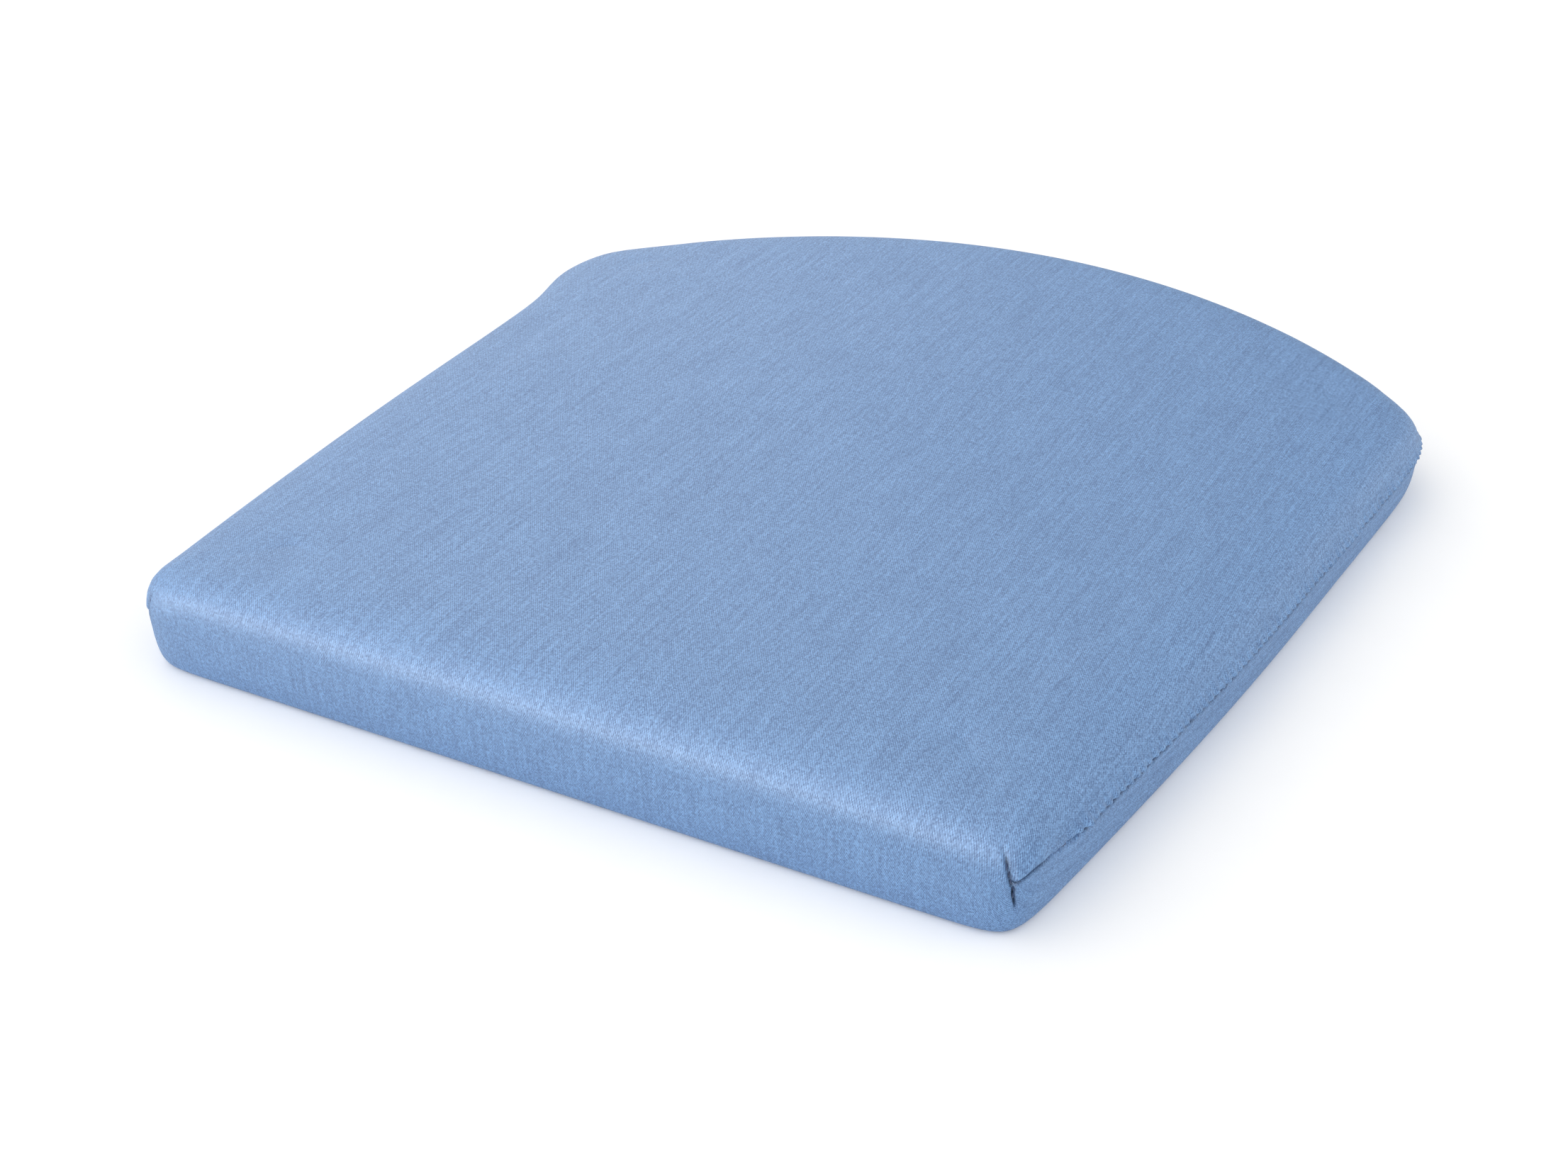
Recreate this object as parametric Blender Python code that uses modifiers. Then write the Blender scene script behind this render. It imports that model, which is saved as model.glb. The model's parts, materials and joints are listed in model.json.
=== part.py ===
"""Arched back cushion: a zipped fabric cover on a foam pad in a wadding wrap. Metres, +Z up.

The frame's origin is the middle of the cushion's footprint, on the surface that it lies on.
-Y is the straight edge, +Y the arched edge with the zip, and +X the right-hand side.
"""

import math

import bmesh
import bpy
from mathutils import Vector

# Cushion outline in plan
DEPTH = 0.480
SIDE_DEPTH = 0.390
FRONT_WIDTH = 0.370
BACK_WIDTH = 0.435
FRONT_CORNER_RADIUS = 0.024
BACK_CORNER_RADIUS = 0.016
SMALLEST_CORNER_RADIUS = 0.003
ARC_STEP = math.radians(2.5)
CORNER_STEP = math.radians(18.0)

# Cushion thickness
THICKNESS = 0.042
CROWN = 0.004
BACK_CORNER_DROP = 0.008
EDGE_ROLL = 0.009
GRID_CELL = 0.045

# Layers, from the outside in
GAP = 0.0004
COVER_WALL = 0.0009
ZIP_SPACE = 0.0026
WADDING = 0.006
WADDING_MOUTH_HEIGHT = 0.006

# Zip along the arched edge
ZIP_HEIGHT = 0.0195
SLIT_HALF_ANGLE = math.radians(33.9)
SLIT_HEIGHT = 0.0098
TAPE_HALF_ANGLE = math.radians(35.5)
TAPE_EDGE = 0.0010
TAPE_REACH = 0.0102
TAPE_THICKNESS = 0.0005
TEETH_HALF_ANGLE = math.radians(32.5)
TEETH_PER_ROW = 70
TEETH_GAP = 0.0006
TEETH_REACH = 0.0022
TOOTH_DEPTH = 0.0007
TEETH_THICKNESS = 0.0011
STOP_HALF_ANGLE = math.radians(33.0)
STOP_LENGTH = 0.0016
PARK_ANGLE = math.radians(31.7)

# Slider and pull tab
SLIDER_LENGTH = 0.0090
SLIDER_HEIGHT = 0.0068
PLATE = 0.0010
FLANGE = 0.0007
NECK_LENGTH = 0.0030
NECK_THICKNESS = 0.0005
BRIDGE_LENGTH = 0.0050
BRIDGE_WIDTH = 0.0016
BRIDGE_LEG = 0.0010
BRIDGE_BAR = 0.0006
TUNNEL_HEIGHT = 0.0013
TAB_LENGTH = 0.0220
TAB_WIDTH = 0.0058
TAB_THICKNESS = 0.0007
TAB_EYE_LENGTH = 0.0032
TAB_EYE_WIDTH = 0.0024
TAB_GRIP_HOLE_RADIUS = 0.0011

# Threads, tacks and label
THREAD_RADIUS = 0.00035
SEAM_FRONT_HEIGHT = 0.0260
SEAM_BACK_HEIGHT = 0.0200
ZIP_STITCH_OFFSET = 0.0070
SEAM_STEP = 0.018
DART_LOW = 0.0100
DART_HIGH = 0.0330
DART_POINTS = 7
TACK_HEIGHT = 0.0110
TACK_WIDTH = 0.0014
TACK_THICKNESS = 0.0006
TACK_ANGLE = math.radians(34.4)
LABEL_WIDTH = 0.030
LABEL_HEIGHT = 0.0150
LABEL_THICKNESS = 0.0005
LABEL_CENTRE_Y = 0.060

THREAD_OFFSET = GAP + THREAD_RADIUS
THREAD_PROUD = THREAD_OFFSET + THREAD_RADIUS
Y_FRONT = -(DEPTH + THREAD_PROUD) / 2
SAGITTA = DEPTH - SIDE_DEPTH
ARC_RADIUS = ((BACK_WIDTH / 2) ** 2 + SAGITTA ** 2) / (2 * SAGITTA)
ARC_CENTRE = Vector((0.0, Y_FRONT + DEPTH - ARC_RADIUS))
SIDE_SPLAY = math.atan2((BACK_WIDTH - FRONT_WIDTH) / 2, SIDE_DEPTH)
SIDE_NORMAL = Vector((math.cos(SIDE_SPLAY), -math.sin(SIDE_SPLAY)))
SIDE_ALONG = Vector((math.sin(SIDE_SPLAY), math.cos(SIDE_SPLAY)))
SIDE_DISTANCE = SIDE_NORMAL.dot(Vector((FRONT_WIDTH / 2, Y_FRONT)))

TAPE_FACE = ARC_RADIUS - COVER_WALL - GAP
TEETH_BACK = TAPE_FACE + GAP
TEETH_FACE = TEETH_BACK + TEETH_THICKNESS
SLIDER_FACE = TEETH_FACE + GAP
BACK_PLATE_FACE = TAPE_FACE - TAPE_THICKNESS - GAP
SLIDER_TOP = SLIDER_FACE + PLATE
PIVOT_RADIUS = SLIDER_TOP + TUNNEL_HEIGHT / 2


def remove_everything():
    for obj in list(bpy.data.objects):
        bpy.data.objects.remove(obj, do_unlink=True)


def new_collection(name):
    collection = bpy.data.collections.new(name)
    bpy.context.scene.collection.children.link(collection)
    return collection


def new_material(name, colour, roughness, metallic=0.0):
    material = bpy.data.materials.new(name)
    material.use_nodes = True
    shader = material.node_tree.nodes["Principled BSDF"]
    shader.inputs["Base Color"].default_value = (*colour, 1.0)
    shader.inputs["Roughness"].default_value = roughness
    shader.inputs["Metallic"].default_value = metallic
    return material


def arc_points(centre, radius, start, end, step):
    """Points along an arc, both ends included."""
    count = max(1, math.ceil(abs(end - start) / step))
    angles = [start + (end - start) * i / count for i in range(count + 1)]
    return [centre + radius * Vector((math.cos(a), math.sin(a))) for a in angles]


def plan_corner_arcs(inset, back_inset):
    """Centre and radius of the right-hand front and back corners of the inset outline."""
    front_radius = max(FRONT_CORNER_RADIUS - inset, SMALLEST_CORNER_RADIUS)
    distance = SIDE_DISTANCE - inset - front_radius
    y = Y_FRONT + inset + front_radius
    x = (distance + math.sin(SIDE_SPLAY) * y) / math.cos(SIDE_SPLAY)
    front = (Vector((x, y)), front_radius)
    back_radius = max(BACK_CORNER_RADIUS - inset, SMALLEST_CORNER_RADIUS)
    distance = SIDE_DISTANCE - inset - back_radius
    reach = ARC_RADIUS - back_inset - back_radius
    across = distance - SIDE_NORMAL.dot(ARC_CENTRE)
    along = SIDE_ALONG.dot(ARC_CENTRE) + math.sqrt(reach ** 2 - across ** 2)
    back = (SIDE_NORMAL * distance + SIDE_ALONG * along, back_radius)
    return front, back


def right_half(inset, back_inset):
    """The inset outline's right half, from the middle of the straight edge to the arch's top."""
    front, back = plan_corner_arcs(inset, back_inset)
    to_back = back[0] - ARC_CENTRE
    meet = math.atan2(to_back.y, to_back.x)
    points = arc_points(*front, -math.pi / 2, -SIDE_SPLAY, CORNER_STEP)
    points += arc_points(*back, -SIDE_SPLAY, meet, CORNER_STEP)
    points += arc_points(ARC_CENTRE, ARC_RADIUS - back_inset, meet, math.pi / 2, ARC_STEP)[1:]
    return points


def plan_outline(inset, back_inset):
    right = right_half(inset, back_inset)
    left = [Vector((-p.x, p.y)) for p in reversed(right[:-1])]
    return right + left


def half_width(y):
    share = min(max((y - Y_FRONT) / SIDE_DEPTH, 0.0), 1.0)
    return (FRONT_WIDTH + (BACK_WIDTH - FRONT_WIDTH) * share) / 2


def lift(x, y):
    """How far the top stands above the plain slab: crowned in the middle, thin at the back corners."""
    across = min(abs(x) / half_width(y), 1.0)
    share = (y - Y_FRONT) / SIDE_DEPTH
    along = 2 * (y - Y_FRONT) / DEPTH - 1
    crown = CROWN * (1 - across ** 2) * (1 - along ** 2)
    return crown - BACK_CORNER_DROP * across ** 4 * min(share, 1.0) ** 2


def shaped_height(point):
    share = (point.z - EDGE_ROLL) / (THICKNESS - EDGE_ROLL)
    return point.z + lift(point.x, point.y) * min(max(share, 0.0), 1.0)


def add_outline_spline(curve, points):
    spline = curve.splines.new("POLY")
    spline.points.add(len(points) - 1)
    for target, point in zip(spline.points, points):
        target.co = (point.x, point.y, 0.0, 1.0)
    spline.use_cyclic_u = True


def mesh_from_curve(obj):
    """A mesh object in place of a curve object, with its caps welded and its transform applied."""
    graph = bpy.context.evaluated_depsgraph_get()
    mesh = bpy.data.meshes.new_from_object(obj.evaluated_get(graph))
    mesh.transform(obj.matrix_world)
    name = obj.name
    bpy.data.objects.remove(obj, do_unlink=True)
    mesh.name = name
    shape = bmesh.new()
    shape.from_mesh(mesh)
    bmesh.ops.remove_doubles(shape, verts=shape.verts, dist=0.00001)
    shape.to_mesh(mesh)
    shape.free()
    return bpy.data.objects.new(name, mesh)


def plate(name, points, low, high, roll=0.0, roll_steps=0):
    """A flat outline made a plate from low to high, its edges rounded outwards by roll."""
    curve = bpy.data.curves.new(name, "CURVE")
    curve.dimensions = "2D"
    curve.fill_mode = "BOTH"
    curve.extrude = (high - low) / 2 - roll
    curve.bevel_depth = roll
    curve.bevel_resolution = roll_steps
    add_outline_spline(curve, points)
    obj = bpy.data.objects.new(name, curve)
    bpy.context.scene.collection.objects.link(obj)
    obj.location.z = (low + high) / 2
    bpy.context.view_layer.update()
    return mesh_from_curve(obj)


def slice_up(shape, cuts):
    """Edges across a mesh at each cut's (place, normal), so that it can be bent smoothly."""
    for place, normal in cuts:
        everything = shape.verts[:] + shape.edges[:] + shape.faces[:]
        bmesh.ops.bisect_plane(shape, geom=everything, plane_co=place, plane_no=normal)


def slab(name, inset, back_inset, roll):
    """The cushion's form, inset all round: a plate cut by a grid, then crowned."""
    points = plan_outline(inset + roll, back_inset + roll)
    obj = plate(name, points, inset, THICKNESS - inset, roll, 1)
    shape = bmesh.new()
    shape.from_mesh(obj.data)
    columns = int(BACK_WIDTH / GRID_CELL / 2)
    rows = int(DEPTH / GRID_CELL / 2)
    cuts = [(Vector((i * GRID_CELL, 0, 0)), Vector((1, 0, 0))) for i in range(-columns, columns + 1)]
    cuts += [(Vector((0, i * GRID_CELL, 0)), Vector((0, 1, 0))) for i in range(-rows, rows + 1)]
    slice_up(shape, cuts)
    for vert in shape.verts:
        vert.co.z = shaped_height(vert.co)
    bmesh.ops.triangulate(shape, faces=shape.faces)
    shape.to_mesh(obj.data)
    shape.free()
    return obj


def zip_point(radius, angle):
    """A point at a radius about the arch's centre, at an angle from +Y towards +X."""
    return ARC_CENTRE + radius * Vector((math.sin(angle), math.cos(angle)))


def band(name, outer, inner, half_angle, low, high):
    """A band along the arch, between two radii and two heights."""
    start = math.pi / 2 - half_angle
    end = math.pi / 2 + half_angle
    points = arc_points(ARC_CENTRE, outer, start, end, ARC_STEP)
    points += arc_points(ARC_CENTRE, inner, end, start, ARC_STEP)
    return plate(name, points, low, high)


def box(name, centre, size):
    shape = bmesh.new()
    bmesh.ops.create_cube(shape, size=1.0)
    for vert in shape.verts:
        vert.co = Vector((vert.co.x * size[0], vert.co.y * size[1], vert.co.z * size[2]))
        vert.co += Vector(centre)
    mesh = bpy.data.meshes.new(name)
    shape.to_mesh(mesh)
    shape.free()
    return bpy.data.objects.new(name, mesh)


def as_cutter(obj, collection):
    collection.objects.link(obj)
    obj.hide_render = True
    obj.display_type = "WIRE"
    return obj


def combine(obj, other, operation):
    """A live Boolean on obj with another object that stays hidden."""
    modifier = obj.modifiers.new(operation.lower() + "_" + other.name, "BOOLEAN")
    modifier.operation = operation
    modifier.solver = "EXACT"
    modifier.object = other


def soften(obj, width):
    modifier = obj.modifiers.new("rounded_edges", "BEVEL")
    modifier.width = width
    modifier.segments = 1
    modifier.limit_method = "ANGLE"


def finish(obj, material, collection, parent=None):
    collection.objects.link(obj)
    obj.data.materials.clear()
    obj.data.materials.append(material)
    obj.parent = parent
    if isinstance(obj.data, bpy.types.Mesh):
        obj.data.shade_smooth()
        obj.data.set_sharp_from_angle(angle=math.radians(35))
    return obj


def strand(name, points, material, collection):
    """A sewing thread through the points, with filled ends."""
    curve = bpy.data.curves.new(name, "CURVE")
    curve.dimensions = "3D"
    curve.bevel_depth = THREAD_RADIUS
    curve.bevel_resolution = 1
    curve.use_fill_caps = True
    spline = curve.splines.new("POLY")
    spline.points.add(len(points) - 1)
    for target, point in zip(spline.points, points):
        target.co = (*point, 1.0)
    obj = bpy.data.objects.new(name, curve)
    finish(obj, material, collection)


def make_filling(parts, cutters):
    """The foam pad, and the wadding wrapped over it, which is open along the arched edge."""
    inset = COVER_WALL + GAP
    foam_inset = inset + WADDING + GAP
    small_roll = 0.003
    foam = slab("foam_pad", foam_inset, foam_inset + ZIP_SPACE, small_roll)
    finish(foam, new_material("foam", (0.86, 0.83, 0.70), 0.95), parts)
    wrap = slab("wadding_wrap", inset, inset + ZIP_SPACE, EDGE_ROLL - inset)
    hollow_inset = inset + WADDING
    hollow = slab("wadding_hollow", hollow_inset, hollow_inset + ZIP_SPACE, small_roll)
    combine(wrap, as_cutter(hollow, cutters), "DIFFERENCE")
    low = ZIP_HEIGHT - WADDING_MOUTH_HEIGHT / 2
    mouth = band(
        "wadding_mouth",
        ARC_RADIUS,
        ARC_RADIUS - 0.020,
        TEETH_HALF_ANGLE,
        low,
        low + WADDING_MOUTH_HEIGHT,
    )
    combine(wrap, as_cutter(mouth, cutters), "DIFFERENCE")
    finish(wrap, new_material("wadding", (0.90, 0.90, 0.88), 1.0), parts)


def make_cover(parts, cutters):
    """One cloth folded round the straight edge, with a slit for the zip in the arched edge."""
    cover = slab("cover_fabric", 0.0, 0.0, EDGE_ROLL)
    hollow = slab("cover_hollow", COVER_WALL, COVER_WALL, EDGE_ROLL - COVER_WALL)
    combine(cover, as_cutter(hollow, cutters), "DIFFERENCE")
    low = ZIP_HEIGHT - SLIT_HEIGHT / 2
    slit = band(
        "zip_slit",
        ARC_RADIUS + 0.010,
        ARC_RADIUS - 0.004,
        SLIT_HALF_ANGLE,
        low,
        low + SLIT_HEIGHT,
    )
    combine(cover, as_cutter(slit, cutters), "DIFFERENCE")
    finish(cover, new_material("cover_fabric", (0.25, 0.38, 0.60), 0.85), parts)


def make_tapes(parts):
    cloth = new_material("zip_tape", (0.20, 0.31, 0.52), 0.85)
    inner = TAPE_FACE - TAPE_THICKNESS
    for name, side in (("upper", 1), ("lower", -1)):
        edges = sorted((ZIP_HEIGHT + side * TAPE_EDGE, ZIP_HEIGHT + side * TAPE_REACH))
        tape = band("zipper_tape_" + name, TAPE_FACE, inner, TAPE_HALF_ANGLE, *edges)
        finish(tape, cloth, parts)


def tooth_row_outline(side):
    """The row's outline, laid flat: distance along the arch, and height from the zip's line."""
    length = 2 * TEETH_HALF_ANGLE * TEETH_BACK
    pitch = length / TEETH_PER_ROW
    tip = side * TEETH_GAP
    root = side * (TEETH_GAP + TOOTH_DEPTH)
    points = []
    for tooth in range(TEETH_PER_ROW):
        start = tooth * pitch - length / 2
        points += [Vector((start, root)), Vector((start + 0.25 * pitch, tip))]
        points += [Vector((start + 0.65 * pitch, tip)), Vector((start + 0.9 * pitch, root))]
    points.append(Vector((length / 2, root)))
    reach = side * TEETH_REACH
    for tooth in range(TEETH_PER_ROW, -1, -1):
        points.append(Vector((tooth * pitch - length / 2, reach)))
    return points[::-side]


def bend_along_arch(obj):
    """Bends a flat plate, which lies along X with its width along Y, round the arch."""
    shape = bmesh.new()
    shape.from_mesh(obj.data)
    pitch = 2 * TEETH_HALF_ANGLE * TEETH_BACK / TEETH_PER_ROW
    middle = TEETH_PER_ROW / 2
    places = [(i - middle) * pitch for i in range(1, TEETH_PER_ROW)]
    slice_up(shape, [(Vector((x, 0, 0)), Vector((1, 0, 0))) for x in places])
    for vert in shape.verts:
        along, height, depth = vert.co
        place = zip_point(TEETH_BACK + depth, along / TEETH_BACK)
        vert.co = (place.x, place.y, ZIP_HEIGHT + height)
    bmesh.ops.reverse_faces(shape, faces=shape.faces)
    shape.to_mesh(obj.data)
    shape.free()


def make_teeth(parts):
    """Two toothed rows, drawn flat and then bent along the arch."""
    nylon = new_material("zip_teeth", (0.18, 0.28, 0.48), 0.45)
    for name, side in (("upper", 1), ("lower", -1)):
        row = plate("zipper_teeth_" + name, tooth_row_outline(side), 0.0, TEETH_THICKNESS)
        bend_along_arch(row)
        finish(row, nylon, parts)


def block_on_arch(name, radius, angle, size, height):
    """A block whose middle is at a radius, angle and height, turned to face out from the arch."""
    obj = box(name, (0, 0, 0), size)
    place = zip_point(radius, angle)
    obj.location = (place.x, place.y, height)
    obj.rotation_euler.z = -angle
    return obj


def make_stops(parts):
    metal = new_material("zip_stop", (0.62, 0.64, 0.67), 0.35, 1.0)
    radius = (TEETH_BACK + TEETH_FACE) / 2
    height = TEETH_REACH - TEETH_GAP
    size = (STOP_LENGTH, TEETH_THICKNESS, height)
    offset = (TEETH_REACH + TEETH_GAP) / 2
    for name, side in (("upper", 1), ("lower", -1)):
        place = ZIP_HEIGHT + side * offset
        stop = block_on_arch("zipper_top_stop_" + name, radius, STOP_HALF_ANGLE, size, place)
        soften(stop, 0.0002)
        finish(stop, metal, parts)
    size = (STOP_LENGTH, TEETH_THICKNESS, 2 * TEETH_REACH)
    stop = block_on_arch("zipper_bottom_stop", radius, -STOP_HALF_ANGLE, size, ZIP_HEIGHT)
    soften(stop, 0.0002)
    finish(stop, metal, parts)


def slider_blocks():
    """The slider's blocks as (name, centre, size), with +Y out from the arch."""
    half_height = SLIDER_HEIGHT / 2
    flange_depth = SLIDER_FACE - TEETH_BACK + PLATE / 2
    flange_y = TEETH_BACK + flange_depth / 2
    flange_z = half_height - FLANGE / 2
    neck_low = BACK_PLATE_FACE - PLATE / 2
    neck_high = SLIDER_FACE + PLATE / 2
    neck_x = (SLIDER_LENGTH - NECK_LENGTH) / 2
    leg_x = (BRIDGE_LENGTH - BRIDGE_LEG) / 2
    leg_low = SLIDER_TOP - PLATE / 2
    leg_high = SLIDER_TOP + TUNNEL_HEIGHT + BRIDGE_BAR
    blocks = [
        ("back", (0, BACK_PLATE_FACE - PLATE / 2, 0), (SLIDER_LENGTH, PLATE, SLIDER_HEIGHT)),
        (
            "neck",
            (neck_x, (neck_low + neck_high) / 2, 0),
            (NECK_LENGTH, neck_high - neck_low, NECK_THICKNESS),
        ),
        (
            "bar",
            (0, SLIDER_TOP + TUNNEL_HEIGHT + BRIDGE_BAR / 2, 0),
            (BRIDGE_LENGTH, BRIDGE_BAR, BRIDGE_WIDTH),
        ),
    ]
    for side in (1, -1):
        flange = (0, flange_y, side * flange_z)
        blocks.append(("flange", flange, (SLIDER_LENGTH, flange_depth, FLANGE)))
        leg = (side * leg_x, (leg_low + leg_high) / 2, 0)
        blocks.append(("leg", leg, (BRIDGE_LEG, leg_high - leg_low, BRIDGE_WIDTH)))
    return blocks


def make_slider(parts, cutters, empty):
    """Front plate with side flanges and a bridge, joined by a thin neck to the plate behind."""
    size = (SLIDER_LENGTH, PLATE, SLIDER_HEIGHT)
    slider = box("zipper_slider", (0, SLIDER_FACE + PLATE / 2, 0), size)
    for name, centre, block_size in slider_blocks():
        block = box("slider_" + name, centre, block_size)
        as_cutter(block, cutters).parent = empty
        combine(slider, block, "UNION")
    finish(slider, new_material("slider_metal", (0.60, 0.62, 0.66), 0.3, 1.0), parts, empty)


def tab_outline():
    """The tab laid flat: its pivot end is square and its free end is round."""
    half = TAB_WIDTH / 2
    end = -(TAB_LENGTH - half)
    start = TAB_THICKNESS / 2
    points = [Vector((start, -half)), Vector((start, half))]
    round_end = arc_points(Vector((end, 0)), half, math.pi / 2, 3 * math.pi / 2, math.radians(22.5))
    return points + round_end


def make_pull_tab(parts, cutters, empty):
    """The tab lies along the zip; its end bar turns in the slider's bridge."""
    half = TAB_THICKNESS / 2
    tab = plate("zipper_pull_tab", tab_outline(), -half, half)
    eye_size = (TAB_EYE_LENGTH, TAB_EYE_WIDTH, 4 * TAB_THICKNESS)
    eye = box("tab_eye", (-half - TAB_EYE_LENGTH / 2, 0, 0), eye_size)
    grip_x = -(TAB_LENGTH - TAB_WIDTH / 2)
    ring = arc_points(Vector((grip_x, 0)), TAB_GRIP_HOLE_RADIUS, 0, 2 * math.pi, math.radians(36))
    hole = plate("tab_grip_hole", ring[:-1], -2 * TAB_THICKNESS, 2 * TAB_THICKNESS)
    for cutter in (eye, hole):
        as_cutter(cutter, cutters).parent = empty
        cutter.rotation_euler.x = -math.pi / 2
        combine(tab, cutter, "DIFFERENCE")
    tab.rotation_euler.x = -math.pi / 2
    finish(tab, new_material("tab_metal", (0.66, 0.68, 0.71), 0.3, 1.0), parts, empty)


def make_runner(parts, cutters):
    """Slider and tab, each under an empty on its own joint axis."""
    travel = bpy.data.objects.new("slider_axis", None)
    travel.location = (ARC_CENTRE.x, ARC_CENTRE.y, ZIP_HEIGHT)
    travel.rotation_euler.z = -PARK_ANGLE
    parts.objects.link(travel)
    make_slider(parts, cutters, travel)
    pivot = bpy.data.objects.new("tab_axis", None)
    pivot.location = (0, PIVOT_RADIUS, 0)
    pivot.parent = travel
    parts.objects.link(pivot)
    make_pull_tab(parts, cutters, pivot)


def seam_height(y):
    share = min(max((y - Y_FRONT) / SIDE_DEPTH, 0.0), 1.0)
    return SEAM_FRONT_HEIGHT + (SEAM_BACK_HEIGHT - SEAM_FRONT_HEIGHT) * share


def side_seam_points(side):
    """From the front corner along the side and round the back corner to the zip's end."""
    front, back = plan_corner_arcs(-THREAD_OFFSET, -THREAD_OFFSET)
    start = front[0] + SIDE_NORMAL * front[1]
    end = back[0] + SIDE_NORMAL * back[1]
    count = round((end - start).length / SEAM_STEP)
    flat = [start + (end - start) * i / count for i in range(1, count)]
    to_back = back[0] - ARC_CENTRE
    meet = math.atan2(to_back.y, to_back.x)
    flat += arc_points(*back, -SIDE_SPLAY, meet, CORNER_STEP)
    zip_end = math.pi / 2 - TACK_ANGLE - math.radians(0.6)
    radius = ARC_RADIUS + THREAD_OFFSET
    flat += arc_points(ARC_CENTRE, radius, meet, zip_end, ARC_STEP)[1:]
    return [(side * p.x, p.y, seam_height(p.y)) for p in flat]


def dart_points(side):
    """Straight up the middle of the rounded front corner."""
    front, _ = plan_corner_arcs(-THREAD_OFFSET, -THREAD_OFFSET)
    angle = (-math.pi / 2 - SIDE_SPLAY) / 2
    place = front[0] + front[1] * Vector((math.cos(angle), math.sin(angle)))
    step = (DART_HIGH - DART_LOW) / (DART_POINTS - 1)
    return [(side * place.x, place.y, DART_LOW + i * step) for i in range(DART_POINTS)]


def zip_stitch_points(side):
    start = math.pi / 2 - SLIT_HALF_ANGLE
    end = math.pi / 2 + SLIT_HALF_ANGLE
    flat = arc_points(ARC_CENTRE, ARC_RADIUS + THREAD_OFFSET, start, end, ARC_STEP)
    return [(p.x, p.y, ZIP_HEIGHT + side * ZIP_STITCH_OFFSET) for p in flat]


def make_threads(parts):
    thread = new_material("thread", (0.12, 0.20, 0.38), 0.7)
    for name, side in (("right", 1), ("left", -1)):
        strand("side_seam_thread_" + name, side_seam_points(side), thread, parts)
        strand("corner_dart_thread_" + name, dart_points(side), thread, parts)
    for name, side in (("upper", 1), ("lower", -1)):
        strand("zipper_stitching_" + name, zip_stitch_points(side), thread, parts)
    radius = ARC_RADIUS + GAP + TACK_THICKNESS / 2
    size = (TACK_WIDTH, TACK_THICKNESS, TACK_HEIGHT)
    for name, side in (("right", 1), ("left", -1)):
        tack = block_on_arch("zipper_tack_" + name, radius, side * TACK_ANGLE, size, ZIP_HEIGHT)
        soften(tack, 0.0001)
        finish(tack, thread, parts)


def make_label(parts):
    """A blank care label that hangs from the left-hand side seam."""
    top = seam_height(LABEL_CENTRE_Y) - 2 * THREAD_RADIUS - GAP
    size = (LABEL_THICKNESS, LABEL_WIDTH, LABEL_HEIGHT)
    label = box("care_label", (0, 0, 0), size)
    out = half_width(LABEL_CENTRE_Y) + (GAP + LABEL_THICKNESS / 2) / math.cos(SIDE_SPLAY)
    label.location = (-out, LABEL_CENTRE_Y, top - LABEL_HEIGHT / 2)
    label.rotation_euler.z = SIDE_SPLAY
    soften(label, 0.0001)
    finish(label, new_material("label_satin", (0.88, 0.88, 0.86), 0.5), parts)


def main():
    remove_everything()
    parts = new_collection("lumbar_support_cushion")
    cutters = new_collection("cutters")
    make_filling(parts, cutters)
    make_cover(parts, cutters)
    make_tapes(parts)
    make_teeth(parts)
    make_stops(parts)
    make_runner(parts, cutters)
    make_threads(parts)
    make_label(parts)


main()
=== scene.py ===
"""Looks of the arched back cushion: a woven cover with sewn side seams, corner darts and a zip."""

import json
import math

import bmesh
import bpy
import numpy as np
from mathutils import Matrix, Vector


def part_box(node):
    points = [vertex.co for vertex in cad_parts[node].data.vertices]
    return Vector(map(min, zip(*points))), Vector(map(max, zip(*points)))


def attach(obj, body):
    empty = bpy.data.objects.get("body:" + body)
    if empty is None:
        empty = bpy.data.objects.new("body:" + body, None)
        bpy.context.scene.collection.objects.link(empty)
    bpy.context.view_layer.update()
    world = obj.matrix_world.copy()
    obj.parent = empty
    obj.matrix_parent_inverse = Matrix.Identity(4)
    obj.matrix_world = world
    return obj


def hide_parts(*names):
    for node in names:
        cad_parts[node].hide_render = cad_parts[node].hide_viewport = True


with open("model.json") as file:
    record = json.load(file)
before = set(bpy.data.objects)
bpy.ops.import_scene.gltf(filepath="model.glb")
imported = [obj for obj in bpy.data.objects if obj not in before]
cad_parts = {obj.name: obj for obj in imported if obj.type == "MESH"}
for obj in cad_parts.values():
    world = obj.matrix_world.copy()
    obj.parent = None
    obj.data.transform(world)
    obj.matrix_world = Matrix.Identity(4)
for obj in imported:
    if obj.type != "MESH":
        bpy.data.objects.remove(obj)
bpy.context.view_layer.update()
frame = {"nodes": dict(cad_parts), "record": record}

MM = 0.001
JOINTS = {joint["name"]: joint for joint in frame["record"]["behaviour"]["joints"]}

# Places read from the frame
COVER_LOW, COVER_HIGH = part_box("cover_fabric")
ARC_CENTRE = np.array(JOINTS["slider_travel"]["pos_m"][:2])
ZIP_HEIGHT = JOINTS["slider_travel"]["pos_m"][2]
ARC_RADIUS = COVER_HIGH.y - ARC_CENTRE[1]
Y_FRONT = COVER_LOW.y
DEPTH = COVER_HIGH.y - COVER_LOW.y
SIDE_DEPTH = 0.8125 * DEPTH
SAGITTA = DEPTH - SIDE_DEPTH
Y_CORNER = Y_FRONT + SIDE_DEPTH
BACK_HALF = math.sqrt(ARC_RADIUS ** 2 - (ARC_RADIUS - SAGITTA) ** 2)
FRONT_HALF = 0.8506 * BACK_HALF

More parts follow.
